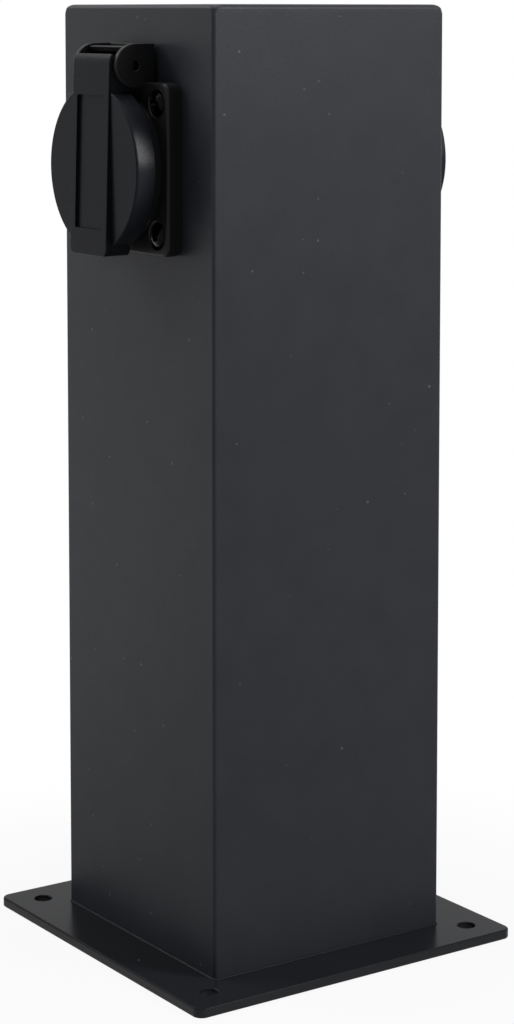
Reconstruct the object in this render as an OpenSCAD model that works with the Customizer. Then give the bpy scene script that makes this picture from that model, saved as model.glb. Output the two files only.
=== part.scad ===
// Garden socket post: a square steel column welded to a base plate, closed by a top plate,
// with a lidded outdoor socket on its front face and one on its rear face.
// Millimetres. The origin is the centre of the base plate's underside, +Z is up,
// and the front socket faces -Y.

/* [Post] */
// Height of the whole post above the ground
post_h = 285; // [260:1:500]
// Width of the square column
post_w = 82.5; // [80:0.5:120]
// Thickness of the column's wall
post_wall = 1.5; // [1:0.1:2.5]
// Radius of the column's upright edges
edge_r = 1; // [0.6:0.1:3]
// Thickness of the top plate
top_t = 4; // [3:0.5:8]
// Rounding of the edge round the top
top_ease = 1.4; // [0.6:0.1:2.5]
// Radius to which the top's corners are ground, seen from above
top_corner_r = 4.5; // [2:0.5:8]

/* [Base] */
// How far the base plate stands out from the column
base_lip = 16.25; // [14:0.25:40]
// Thickness of the base plate
base_t = 3; // [2:0.5:8]
// Radius of the base plate's corners
base_r = 3; // [1:0.5:8]
// Distance from the base plate's edge to the middle of a fixing hole
bolt_inset = 10; // [8:0.5:11]
// Diameter of the fixing holes
bolt_d = 5.5; // [4:0.5:8]
// Diameter of the opening in the base plate for the supply cable
inlet_d = 56; // [30:1:60]
// Leg of the weld bead round the foot of the column
weld_leg = 0.6; // [0.4:0.1:2.5]

/* [Socket] */
// Height of a socket's centre below the top of the post
socket_drop = 47.5; // [46:0.5:120]
// Width of the square flange
flange_w = 50; // [49:0.5:56]
// Thickness of the flange
flange_t = 3.9; // [3:0.1:6]
// Radius of the flange's corners
flange_r = 3; // [1.5:0.5:6]
// Rounding of the flange's front edge
flange_ease = 0.8; // [0.3:0.1:1.4]
// Thickness of the gasket behind the flange
gasket_t = 1; // [0.5:0.1:2]
// Diameter of the plug recess
recess_d = 39; // [38.5:0.1:40]
// Depth of the plug recess
recess_depth = 17.5; // [15:0.5:19]
// Wall of the collar round the mouth of the recess
collar_wall = 2.5; // [1.6:0.1:2.8]
// How far the collar stands out from the flange
collar_h = 6.3; // [5:0.1:8]
// Step that the insert seats against
seat_step = 0.6; // [0.4:0.1:0.8]
// Wall of the socket's body inside the column
body_wall = 1.2; // [1:0.1:1.5]
// Distance from the flange's edge to the middle of a flange screw
screw_inset = 6; // [5.5:0.1:6.5]
// Thread diameter of the flange screws
screw_d = 3.9; // [3:0.1:4.2]
// Head diameter of the flange screws
head_d = 7; // [6:0.1:7.4]
// Head height of the flange screws
head_h = 2.2; // [1.6:0.1:2.8]
// Depth of the pocket round a screw head
head_sink = 1.5; // [0.8:0.1:2]
// Length of a flange screw under its head
screw_l = 9; // [7:0.5:14]
// Height of the straight side of a screw head
head_side = 1.2; // [0.6:0.1:1.4]
// Diameter of the flat on a screw head
head_flat_d = 4.4; // [4.2:0.1:5.5]
// Length of the cross recess in a screw head
cross_l = 3.9; // [2.5:0.1:4]
// Width of the cross recess in a screw head
cross_w = 0.9; // [0.6:0.1:1.2]
// Thickness of the lips that hold the insert
lip_t = 1.2; // [0.8:0.1:1.8]
// How far the lips reach in behind the insert
lip_in = 0.9; // [0.5:0.1:1.2]
// Angle that one lip covers
lip_turn = 24; // [10:1:40]

/* [Lid] */
// Clearance between the collar and the inside of the lid
lid_clear = 1.2; // [1:0.1:2]
// Wall of the lid's rim
lid_wall = 1.6; // [1.6:0.1:3]
// Height of the lid's rim, front to back
lid_t = 6.2; // [4.5:0.1:6.4]
// Thickness of the lid's face
lid_face = 2; // [1.3:0.1:2.6]
// Rounding of the lid's front edge
lid_ease = 0.5; // [0.3:0.1:1.2]
// Thickness of the lid seal
seal_t = 1.5; // [1.2:0.1:2.4]
// Width of the strap across the lid
strap_w = 20.2; // [17:0.2:23]
// How far the strap stands out from the middle of the lid's face
strap_proud = 1; // [0.9:0.1:2]
// Lean of the strap's front, which stands out furthest at its lower end
strap_lean = 1.6; // [0:0.1:1.8]
// How far the strap's lower end reaches below the lid's rim
strap_below = 0.5; // [0.3:0.1:4]
// Radius of the strap's lower corners
strap_r = 2; // [0.5:0.5:4]
// Margin at each side of the shallow panel in the strap
panel_margin = 2.8; // [2:0.1:4]
// Length of the panel in the strap
panel_l = 39; // [20:1:42]
// Distance from the strap's lower end to the panel
panel_low = 7.6; // [4:0.1:10]
// Depth of the panel in the strap
panel_sink = 0.8; // [0.3:0.1:0.9]

/* [Hinge] */
// Height of the hinge axis above the flange's upper edge
hinge_rise = 4.8; // [4.6:0.1:7]
// Distance of the hinge axis from the column's face
hinge_out = 7.7; // [7:0.1:8.4]
// Radius of the hinge ears
ear_r = 6.4; // [5:0.1:6.6]
// Thickness of a hinge ear
ear_t = 1.8; // [1.4:0.1:3]
// Gap between an ear and the strap
ear_gap = 0.3; // [0.2:0.05:0.5]
// Thickness of the plate that joins the ears
back_t = 1.4; // [1.2:0.1:1.8]
// Diameter of the hinge pin
pin_d = 3; // [2:0.1:3.6]
// Radius of the lid's hinge barrels
barrel_r = 3.4; // [3.2:0.1:3.6]
// Length of a hinge barrel
barrel_l = 4.4; // [3:0.1:4.8]
// Wall of the strap's curved hood in front of the hinge
hood_wall = 1.1; // [1:0.1:1.3]
// Angle that the hood curves back over the hinge
hood_turn = 28; // [8:1:28]
// Angle by which the webs between the barrels and the hood lean down
web_lean = 64; // [58:1:65]
// Thickness of a web
web_t = 4.4; // [3:0.1:4.6]
// Gap between the roof over the hinge and the barrels under it
roof_play = 0.8; // [0.5:0.1:1.2]
// Gap between the roof and the hood that swings over it
roof_gap = 0.4; // [0.3:0.05:0.8]
// Angle of the roof's front edge about the hinge axis
roof_turn = 76; // [75:1:95]
// Wire diameter of the lid spring
spring_wire = 0.8; // [0.6:0.05:0.9]
// Turns of the lid spring
spring_turns = 5; // [3:1:5]
// Distance from turn to turn of the lid spring
spring_pitch = 1.35; // [1.3:0.05:1.6]
// Gap between the hinge pin and the turns of the lid spring
spring_play = 0.8; // [0.4:0.1:0.9]
// Length of the lid spring's front leg
front_leg_l = 4.5; // [4:0.1:5]

/* [Contacts] */
// Distance between the two pin holes
pin_pitch = 19; // [18:0.1:20]
// Diameter of the pin holes in the insert
pin_hole_d = 5.4; // [5.2:0.1:5.8]
// Lead-in round a pin hole
pin_lead = 0.8; // [0.4:0.1:1.2]
// Bore of a contact sleeve
sleeve_bore = 4.9; // [4.8:0.1:5]
// Wall of a contact sleeve
sleeve_wall = 0.95; // [0.6:0.05:1.2]
// Depth of a contact sleeve's bore
sleeve_depth = 15.6; // [12:0.2:16]
// Length of the slit in a contact sleeve
slit_l = 11; // [8:0.5:12]
// Thickness of the insert's face
insert_face = 3.2; // [2.4:0.1:4]
// Length of the insert
insert_l = 18.9; // [17.5:0.1:20]
// Thickness of the cover behind the insert
cover_t = 2; // [1.5:0.1:3]
// Width of a contact's terminal
terminal_w = 8; // [7:0.1:8.6]
// Length of a contact's terminal
terminal_l = 7; // [6.4:0.1:8]
// Distance from a terminal's front to the middle of its wire hole
wire_set = 3.1; // [2.6:0.1:3.4]
// Thread diameter of the terminal screws
clamp_screw_d = 2.9; // [2.4:0.1:3.2]
// Head diameter of the terminal screws
clamp_head_d = 4.6; // [4:0.1:5]
// Head height of the terminal screws
clamp_head_h = 1.6; // [1.2:0.1:2]
// Width of the earth strip
strip_w = 5; // [4:0.1:6]
// Thickness of the earth strip
strip_t = 0.8; // [0.5:0.1:1]
// How far an earth clip springs in from the recess wall
clip_in = 2.6; // [1.6:0.1:3.2]
// Length of an earth clip in front of the insert
clip_l = 13; // [9:0.5:14]
// Distance of the earth terminal below the socket's centre
earth_drop = 9; // [8.5:0.1:10]
// Width of a plug guide in the recess
guide_w = 4.6; // [3:0.1:5]
// Depth of a plug guide
guide_d = 2.4; // [1.5:0.1:2.8]
// Length of a plug guide
guide_l = 15; // [8:0.5:16]

/* [Wiring] */
// Outside diameter of a wire
wire_d = 2.9; // [2.4:0.1:3]
// Diameter of a wire's bare end
core_d = 1.4; // [1:0.1:1.6]
// Length of a wire's bare end
core_l = 6; // [5:0.5:6.5]
// Height of the terminal block's underside above the base plate
block_up = 47; // [35:1:80]
// Height of the terminal block
block_h = 18; // [16:1:24]
// Depth of the terminal block
block_d = 14; // [13:0.5:18]
// Wall of the terminal block at its ends
block_wall = 2.5; // [2:0.1:4]
// Depth of the grooves between the block's poles
groove_d = 2; // [1:0.5:3]
// Width of the grooves between the block's poles
groove_w = 2.2; // [1.6:0.1:2.6]
// Distance from pole to pole of the terminal block
pole_pitch = 11; // [10.6:0.1:13]
// Width of a brass clamp in the terminal block
clamp_w = 7; // [6.8:0.1:7.4]
// How far a brass clamp ends inside the block
clamp_sink = 1; // [0.5:0.1:1.5]
// Bore of a brass clamp
clamp_bore = 5.2; // [5:0.1:5.4]
// Thickness of the bracket behind the terminal block
bracket_t = 1.5; // [1:0.1:2.5]
// Distance of the bracket's plate from the column's wall
bracket_out = 6; // [4:0.5:8]
// Height of the bracket
bracket_h = 14; // [12:1:16]
// Width of a bracket foot
bracket_foot = 8; // [5:0.5:10]
// Thread diameter of the block's fixing screws
fix_d = 2.9; // [2.4:0.1:3.2]
// How far the block's fixing screws reach past the bracket
fix_past = 2; // [0.5:0.1:3]
// Head diameter of the block's fixing screws
fix_head_d = 3.2; // [3:0.1:3.3]

/* [Earth stud] */
// Distance of the earth stud from the column's inner faces
stud_inset = 8; // [7:0.5:9]
// Diameter of the earth stud
stud_d = 5; // [4:0.5:6]
// Height of the earth stud above the base plate
stud_h = 14; // [11:0.5:25]
// Ring diameter of the cable lug
lug_d = 10; // [9:0.5:12]
// Thickness of the cable lug
lug_t = 1; // [0.8:0.1:1.5]
// Length of the cable lug's barrel
lug_barrel_l = 8; // [5:0.5:10]
// Thickness of the washer
washer_t = 1; // [0.6:0.1:1.5]
// Width of the nut across its flats
nut_af = 8; // [7:0.5:10]
// Height of the nut
nut_h = 4; // [3:0.5:5]

/* [Clearances] */
// Clearance of moulded and metal pieces that slide into each other
slip = 0.1; // [0.05:0.01:0.12]
// Clearance of a screw or stud in the hole that its thread grips
grip = 0.02; // [0.01:0.01:0.04]
// Clearance of a screw in a plain hole
loose = 0.25; // [0.15:0.05:0.3]
// Radial clearance of the lid's barrels on the hinge pin
run = 0.05; // [0.02:0.01:0.08]
// Clearance of the weld bead from the column's curved edges
weld_gap = 0.05; // [0.02:0.01:0.1]

/* [Hidden] */
$fn = 64;
HULL_FN = 32;
CUT = 1;
FRONT = 0;
REAR = 180;

// Colours
STEEL_GREY = "#2c2d30";
PLASTIC_BLACK = "#17181a";
RUBBER_BLACK = "#0e0e0f";
INSERT_BLACK = "#1d1e20";
BRIGHT_STEEL = "#b9bcc0";
BRASS = "#c5a04a";
BLOCK_WHITE = "#e4e2d8";
LIVE_BROWN = "#5d3720";
NEUTRAL_BLUE = "#2b5fa8";
EARTH_GREEN = "#7f9f2c";

// The post
post_in = post_w - 2 * post_wall;
base_w = post_w + 2 * base_lip;
bolt_pitch = base_w - 2 * bolt_inset;
column_h = post_h - base_t - top_t;
inner_r = max(edge_r - post_wall, 0.3);
socket_z = post_h - socket_drop;

// A socket, measured outwards from the column's face
flange_front = gasket_t + flange_t;
rim = flange_front + collar_h;
floor_z = rim - recess_depth;
collar_d = recess_d + 2 * collar_wall;
seat_d = recess_d + 2 * seat_step;
body_d = seat_d + 2 * body_wall;
cutout_d = body_d + 2 * loose;
screw_pitch = flange_w - 2 * screw_inset;
head_pocket_d = head_d + 4 * loose;
head_seat = flange_front - head_sink;
insert_back = floor_z - insert_l;
cover_front = insert_back - slip;
cover_back = cover_front - cover_t;
body_end = cover_back - slip - lip_t;

// The lid
seal_back = rim + slip;
ceiling = seal_back + seal_t;
lid_front = ceiling + lid_face;
lid_back = lid_front - lid_t;
pocket_d = collar_d + 2 * lid_clear;
lid_d = pocket_d + 2 * lid_wall;
strap_front = lid_front + strap_proud;
strap_end = -lid_d / 2 - strap_below;
function strap_at(y) = strap_front - y * tan(strap_lean);

// The hinge
ear_in = strap_w / 2 + ear_gap;
ear_low = sqrt(pow(lid_d / 2, 2) - pow(ear_in, 2)) + ear_gap;
hinge_up = max(flange_w / 2 + hinge_rise, ear_low + ear_r);
ear_out = ear_in + ear_t;
hood_r = (strap_at(hinge_up) - hinge_out) * cos(strap_lean);
hood_in = hood_r - hood_wall;
barrel_x = strap_w / 2 - slip - barrel_l / 2;
coil_r = pin_d / 2 + spring_play + spring_wire / 2;
web_top = coil_r - spring_wire / 2 - slip;
roof_r = min(ear_r, hood_in - roof_gap);
roof_in = barrel_r + roof_play;
roof_end = acos(max(-1, (gasket_t + 0.8 * back_t - hinge_out) / roof_r));

// The contacts
sleeve_d = sleeve_bore + 2 * sleeve_wall;
pocket_front = floor_z - insert_face;
sleeve_front = pocket_front - 2 * slip;
terminal_front = cover_back - slip;
terminal_back = terminal_front - terminal_l;
wire_z = terminal_front - wire_set;
core_hole_d = core_d + 2 * loose;
strip_back = insert_back + slip / 2;
strip_front = strip_back + strip_t;
leg_out = sqrt(pow(recess_d / 2 - slip, 2) - pow(strip_w / 2, 2));
leg_up = leg_out - strip_t;

// The terminal block stands on a bracket on the column's rear wall
plate_y = post_in / 2 - bracket_out - bracket_t;
block_y = plate_y - block_d;
clamp_y = plate_y - block_d / 2;
block_z = base_t + block_up;
block_top = block_z + block_h;
block_w = 2 * pole_pitch + clamp_w + 2 * block_wall;
bracket_z = block_z + (block_h - bracket_h) / 2;
clamp_l = block_h - 2 * clamp_sink;
core_side = wire_d / 2 + slip;
screw_step = clamp_l / 4;

// The earth stud stands in a corner of the base plate
stud_x = post_in / 2 - stud_inset;
stud_y = post_in / 2 - stud_inset;
lug_barrel_d = wire_d + 1;
lug_end_x = stud_x - lug_d / 2 - lug_barrel_l;
lug_axis_z = base_t + lug_barrel_d / 2;

// A square with round corners, about the origin
module rounded_square(w, h, r) {
    square([w - 2 * r, h], center = true);
    square([w, h - 2 * r], center = true);
    for (x = [-1, 1], y = [-1, 1])
        translate([x * (w / 2 - r), y * (h / 2 - r)])
            circle(r);
}

// A square slab whose upper edge is rounded all the way round
module eased_slab(w, r, t, ease, steps = 4) {
    hull()
        for (i = [0 : steps])
            let (a = 90 * i / steps, inset = ease * (1 - cos(a)))
                linear_extrude(t - ease * (1 - sin(a)))
                    rounded_square(w - 2 * inset, w - 2 * inset, max(r - inset, 0.05), $fn = HULL_FN);
}

// Copies at the four corners of a square
module at_corners(pitch) {
    for (x = [-1, 1], y = [-1, 1])
        translate([x * pitch / 2, y * pitch / 2])
            children();
}

// A socket's own axes: X along the column's face, Y up, Z outwards from the face
module on_face(turn) {
    rotate(turn)
        translate([0, -post_w / 2, socket_z])
            rotate([90, 0, 0])
                children();
}

// The same axes as points of the whole post
function face_point(turn, p) =
    let (s = turn == FRONT ? 1 : -1)
    [s * p[0], s * (-post_w / 2 - p[2]), socket_z + p[1]];

// A profile of distance out and height, drawn out along the column's face
module across(w) {
    rotate([0, 90, 0])
        translate([0, 0, -w / 2])
            linear_extrude(w)
                mirror([1, 0])
                    children();
}

// A round bar along the column's face
module bar(r, l) {
    rotate([0, 90, 0])
        cylinder(r = r, h = l, center = true);
}

// A tube of given radii along a path, as one closed shell
function unit(v) = v / norm(v);
function tangents(p) =
    let (last = len(p) - 1)
    [for (i = [0 : last]) unit(p[min(i + 1, last)] - p[max(i - 1, 0)])];
function square_to(n, t) = unit(n - (n * t) * t);
function normals(t, seed) =
    [for (i = 0, n = square_to(seed, t[0]);
          i < len(t);
          i = i + 1, n = i < len(t) ? square_to(n, t[i]) : n) n];

module tube(path, radii, sides, seed) {
    t = tangents(path);
    n = normals(t, seed);
    last = len(path) - 1;
    points = [
        for (i = [0 : last], k = [0 : sides - 1])
            let (a = 360 * k / sides)
            path[i] + radii[i] * (cos(a) * n[i] + sin(a) * cross(t[i], n[i]))
    ];
    walls = [
        for (i = [0 : last - 1], k = [0 : sides - 1])
            let (m = (k + 1) % sides, a = i * sides, b = a + sides)
            each [[a + k, b + m, a + m], [a + k, b + k, b + m]]
    ];
    first_cap = [for (k = [1 : sides - 2]) [0, k, k + 1]];
    end = last * sides;
    last_cap = [for (k = [1 : sides - 2]) [end, end + k + 1, end + k]];
    polyhedron(points, concat(walls, first_cap, last_cap));
}

// A wire with a bare core at each end, leaving both ends straight
WIRE_SIDES = 8;
WIRE_STEPS = 14;
WIRE_LEAD = 1.5;
function bezier(a, b, c, d, steps) =
    [for (i = [0 : steps])
        let (t = i / steps, u = 1 - t)
        u * u * u * a + 3 * u * u * t * b + 3 * u * t * t * c + t * t * t * d];

module wire(start, out, end, away) {
    leave = start + WIRE_LEAD * unit(out);
    arrive = end + WIRE_LEAD * unit(away);
    run_points = concat([start], bezier(leave, leave + out, arrive + away, arrive, WIRE_STEPS), [end]);
    first = start - core_l * unit(out);
    last = end - core_l * unit(away);
    path = concat([first, start], run_points, [end, last]);
    jacket = [for (p = run_points) wire_d / 2];
    core = [core_d / 2, core_d / 2];
    tube(path, concat(core, jacket, core), WIRE_SIDES, [1, 0.3, 0.2]);
}

// The post

module column() {
    color(STEEL_GREY)
        difference() {
            translate([0, 0, base_t])
                linear_extrude(column_h)
                    rounded_square(post_w, post_w, edge_r);
            translate([0, 0, base_t - CUT])
                linear_extrude(column_h + 2 * CUT)
                    rounded_square(post_in, post_in, inner_r);
            for (turn = [FRONT, REAR])
                on_face(turn) {
                    cylinder(d = cutout_d, h = 3 * post_wall, center = true);
                    at_corners(screw_pitch)
                        cylinder(d = screw_d + 2 * grip, h = 3 * post_wall, center = true);
                }
        }
}

// The plate's edge is rounded over, and its corners are ground rounder from the seam to the top
TOP_STEPS = 4;
function ground_r(h) = edge_r + (top_corner_r - edge_r) * (1 - sqrt(1 - pow(h / top_t, 2)));

module top_plate() {
    color(STEEL_GREY)
        translate([0, 0, post_h - top_t])
            hull() {
                linear_extrude((top_t - top_ease) / 2)
                    rounded_square(post_w, post_w, edge_r, $fn = HULL_FN);
                for (i = [0 : TOP_STEPS])
                    let (
                        a = 90 * i / TOP_STEPS,
                        w = post_w - 2 * top_ease * (1 - cos(a)),
                        h = top_t - top_ease * (1 - sin(a))
                    )
                        linear_extrude(h)
                            rounded_square(w, w, ground_r(h), $fn = HULL_FN);
            }
}

module base_plate() {
    color(STEEL_GREY)
        difference() {
            linear_extrude(base_t)
                rounded_square(base_w, base_w, base_r);
            translate([0, 0, -CUT]) {
                cylinder(d = inlet_d, h = base_t + 2 * CUT);
                at_corners(bolt_pitch)
                    cylinder(d = bolt_d, h = base_t + 2 * CUT);
            }
            translate([stud_x, stud_y, -CUT])
                cylinder(d = stud_d + 2 * grip, h = base_t + 2 * CUT);
        }
}

// The bead is a fillet that runs out thin on the plate and on the column: its section's
// points lie so far out from the column and up from the plate, in legs of the weld
BEAD = [[1, 0.15], [0.6, 0.55], [0.15, 1]];

module base_weld() {
    foot = post_w + 2 * weld_gap;
    foot_r = edge_r + weld_gap;
    color(STEEL_GREY)
        translate([0, 0, base_t])
            difference() {
                hull()
                    for (p = BEAD)
                        let (out = p[0] * weld_leg)
                            linear_extrude(p[1] * weld_leg)
                                rounded_square(foot + 2 * out, foot + 2 * out, foot_r + out, $fn = HULL_FN);
                translate([0, 0, -CUT])
                    linear_extrude(weld_leg + 2 * CUT)
                        rounded_square(foot, foot, foot_r);
            }
}

// Terminals in the foot of the column

module pole_places() {
    for (x = [-1, 0, 1])
        translate([x * pole_pitch, clamp_y, block_z + block_h / 2])
            children();
}

module screw_places() {
    pole_places()
        for (z = [-1, 1])
            translate([0, 0, z * screw_step])
                rotate([90, 0, 0])
                    children();
}

module fixing_places() {
    for (x = [-0.5, 0.5])
        translate([x * pole_pitch, block_y, block_z + block_h / 2])
            rotate([-90, 0, 0])
                children();
}

// A strip bent into a top-hat section, its feet welded to the wall
module terminal_bracket() {
    plate_w = block_w;
    wall_y = post_in / 2;
    color(BRIGHT_STEEL)
        difference() {
            translate([0, 0, bracket_z])
                linear_extrude(bracket_h) {
                    translate([-plate_w / 2, plate_y])
                        square([plate_w, bracket_t]);
                    for (s = [-1, 1]) {
                        translate([s * (plate_w - bracket_t) / 2 - bracket_t / 2, plate_y])
                            square([bracket_t, wall_y - plate_y]);
                        translate([s * (plate_w + bracket_foot - 2 * bracket_t) / 2 - bracket_foot / 2,
                                   wall_y - bracket_t])
                            square([bracket_foot, bracket_t]);
                    }
                }
            fixing_places()
                cylinder(d = fix_d + 2 * grip, h = block_d + bracket_out);
        }
}

module terminal_block() {
    pole_w = pole_pitch - groove_w;
    color(BLOCK_WHITE)
        difference() {
            union() {
                translate([-block_w / 2, block_y + groove_d, block_z])
                    cube([block_w, block_d - groove_d, block_h]);
                for (x = [-1, 0, 1])
                    translate([x * pole_pitch - pole_w / 2, block_y, block_z])
                        cube([pole_w, block_d, block_h]);
            }
            pole_places()
                cube([clamp_w + 2 * slip, clamp_w + 2 * slip, block_h + 2 * CUT], center = true);
            screw_places()
                cylinder(d = clamp_head_d + 2 * loose, h = block_d);
            fixing_places()
                translate([0, 0, -CUT])
                    cylinder(d = fix_d + 2 * loose, h = block_d + 2 * CUT);
        }
}

module block_clamps() {
    color(BRASS)
        difference() {
            pole_places()
                cube([clamp_w, clamp_w, clamp_l], center = true);
            pole_places()
                cylinder(d = clamp_bore, h = clamp_l + 2 * CUT, center = true);
            screw_places()
                cylinder(d = clamp_screw_d + 2 * grip, h = clamp_w);
        }
}

// A slotted cheese-head screw whose head rests at height zero
module slotted_screw(d, l, cap_d, cap_h) {
    difference() {
        union() {
            translate([0, 0, -l])
                cylinder(d = d, h = l);
            cylinder(d = cap_d, h = cap_h);
        }
        translate([0, 0, cap_h])
            cube([cap_d + CUT, cap_h / 2, cap_h], center = true);
    }
}

module block_clamp_screws() {
    color(BRIGHT_STEEL)
        screw_places()
            translate([0, 0, clamp_w / 2 + slip])
                slotted_screw(clamp_screw_d, clamp_w / 2 - core_d / 2 - slip, clamp_head_d, clamp_head_h);
}

module block_fixing_screws() {
    color(BRIGHT_STEEL)
        fixing_places()
            translate([0, 0, groove_d])
                mirror([0, 0, 1])
                    slotted_screw(fix_d, block_d - groove_d + bracket_t + fix_past, fix_head_d, clamp_head_h);
}

// The post's own earth connection

module earth_stud() {
    color(BRIGHT_STEEL)
        translate([stud_x, stud_y, 0])
            cylinder(d = stud_d, h = base_t + stud_h);
}

module earth_lug() {
    color(BRIGHT_STEEL)
        difference() {
            union() {
                translate([stud_x, stud_y, base_t])
                    cylinder(d = lug_d, h = lug_t);
                translate([lug_end_x + lug_barrel_l, stud_y - lug_barrel_d / 2, base_t])
                    cube([lug_d / 2, lug_barrel_d, lug_t]);
                translate([lug_end_x, stud_y, lug_axis_z])
                    rotate([0, 90, 0])
                        cylinder(d = lug_barrel_d, h = lug_barrel_l);
            }
            translate([stud_x, stud_y, base_t - CUT])
                cylinder(d = stud_d + 2 * slip, h = lug_t + 2 * CUT);
            translate([lug_end_x - CUT, stud_y, lug_axis_z])
                rotate([0, 90, 0])
                    cylinder(d = core_d + 2 * slip, h = core_l + 2 * CUT);
        }
}

module earth_washer() {
    color(BRIGHT_STEEL)
        translate([stud_x, stud_y, base_t + lug_t])
            difference() {
                cylinder(d = lug_d - 2 * slip, h = washer_t);
                translate([0, 0, -CUT])
                    cylinder(d = stud_d + 2 * slip, h = washer_t + 2 * CUT);
            }
}

module earth_nut() {
    color(BRIGHT_STEEL)
        translate([stud_x, stud_y, base_t + lug_t + washer_t])
            difference() {
                cylinder(d = nut_af / cos(30), h = nut_h, $fn = 6);
                translate([0, 0, -CUT])
                    cylinder(d = stud_d + 2 * grip, h = nut_h + 2 * CUT);
            }
}

// Wires from the sockets down to the block, and from the block to the earth stud
DROP = 60;
LOOP = 14;

module socket_wire(turn, x, y, pole) {
    side = turn == FRONT ? -1 : 1;
    start = face_point(turn, [x, y - terminal_w / 2 - slip, wire_z]);
    end = [pole * pole_pitch + side * core_side, clamp_y, block_top + slip];
    wire(start, [0, 0, -DROP], end, [0, 0, DROP]);
}

module live_wire(turn) {
    color(LIVE_BROWN)
        socket_wire(turn, turn == FRONT ? -pin_pitch / 2 : pin_pitch / 2, 0, -1);
}

module neutral_wire(turn) {
    color(NEUTRAL_BLUE)
        socket_wire(turn, turn == FRONT ? pin_pitch / 2 : -pin_pitch / 2, 0, 1);
}

module earth_wire(turn) {
    color(EARTH_GREEN)
        socket_wire(turn, 0, -earth_drop, 0);
}

module post_earth_wire() {
    color(EARTH_GREEN)
        wire([lug_end_x - slip, stud_y, lug_axis_z], [-LOOP, 0, 0],
             [0, clamp_y, block_z - slip], [0, 0, -2 * LOOP]);
}

// The parts of one socket, in the socket's own axes

module gasket() {
    color(RUBBER_BLACK)
        difference() {
            linear_extrude(gasket_t)
                rounded_square(flange_w - 2 * loose, flange_w - 2 * loose, flange_r);
            translate([0, 0, -CUT]) {
                cylinder(d = cutout_d, h = gasket_t + 2 * CUT);
                at_corners(screw_pitch)
                    cylinder(d = screw_d + 2 * loose, h = gasket_t + 2 * CUT);
            }
        }
}

// A wedge of a disc about the hinge axis, from one angle to another
module hinge_wedge(r, from, to) {
    translate([hinge_out, hinge_up])
        intersection() {
            circle(r);
            polygon([
                [0, 0],
                2 * r * [cos(from), sin(from)],
                2 * r * [cos((from + to) / 2), sin((from + to) / 2)],
                2 * r * [cos(to), sin(to)]
            ]);
        }
}

// Two ears on a plate that rises from the flange, with a curved roof between them
module hinge_bracket() {
    foot = flange_w / 2 - flange_r;
    translate([-ear_out, foot, gasket_t])
        cube([2 * ear_out, hinge_up + ear_r - foot, back_t]);
    for (s = [-1, 1])
        translate([s * (ear_in + ear_t / 2), 0, 0]) {
            translate([0, hinge_up, hinge_out])
                bar(ear_r, ear_t);
            translate([-ear_t / 2, hinge_up - ear_r, gasket_t])
                cube([ear_t, 2 * ear_r, hinge_out - gasket_t]);
        }
    across(2 * ear_in + ear_t)
        difference() {
            hinge_wedge(roof_r, roof_turn, roof_end);
            translate([hinge_out, hinge_up])
                circle(roof_in);
        }
}

// Flange, collar and body are one moulding: lips at the back of the body hold the insert
module housing() {
    color(PLASTIC_BLACK) {
        difference() {
            union() {
                translate([0, 0, gasket_t])
                    eased_slab(flange_w, flange_r, flange_t, flange_ease);
                translate([0, 0, gasket_t])
                    cylinder(d = collar_d, h = rim - gasket_t);
                translate([0, 0, body_end])
                    cylinder(d = body_d, h = flange_front - body_end);
                hinge_bracket();
            }
            translate([0, 0, floor_z - CUT])
                cylinder(d = recess_d, h = recess_depth + 2 * CUT);
            translate([0, 0, body_end - CUT])
                cylinder(d = seat_d, h = floor_z - body_end + CUT);
            at_corners(screw_pitch) {
                cylinder(d = screw_d + 2 * loose, h = rim);
                translate([0, 0, head_seat])
                    cylinder(d = head_pocket_d, h = rim);
            }
            translate([0, hinge_up, hinge_out])
                bar(pin_d / 2 + grip, 2 * ear_out + CUT);
        }
        for (a = [30 : 120 : 270])
            rotate(a)
                rotate_extrude(angle = lip_turn)
                    translate([seat_d / 2 - lip_in, body_end])
                        square([lip_in + body_wall / 2, lip_t]);
    }
}

// Pan-head screws with a cross recess
module flange_screws() {
    color(BRIGHT_STEEL)
        at_corners(screw_pitch)
            translate([0, 0, head_seat])
                difference() {
                    union() {
                        translate([0, 0, -screw_l])
                            cylinder(d = screw_d, h = screw_l);
                        cylinder(d = head_d, h = head_side);
                        translate([0, 0, head_side])
                            cylinder(d1 = head_d, d2 = head_flat_d, h = head_h - head_side);
                    }
                    for (a = [45, 135])
                        rotate(a)
                            translate([0, 0, head_h])
                                cube([cross_l, cross_w, head_h], center = true);
                }
}

module pin_places() {
    for (s = [-1, 1])
        translate([s * pin_pitch / 2, 0, 0])
            children();
}

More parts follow.
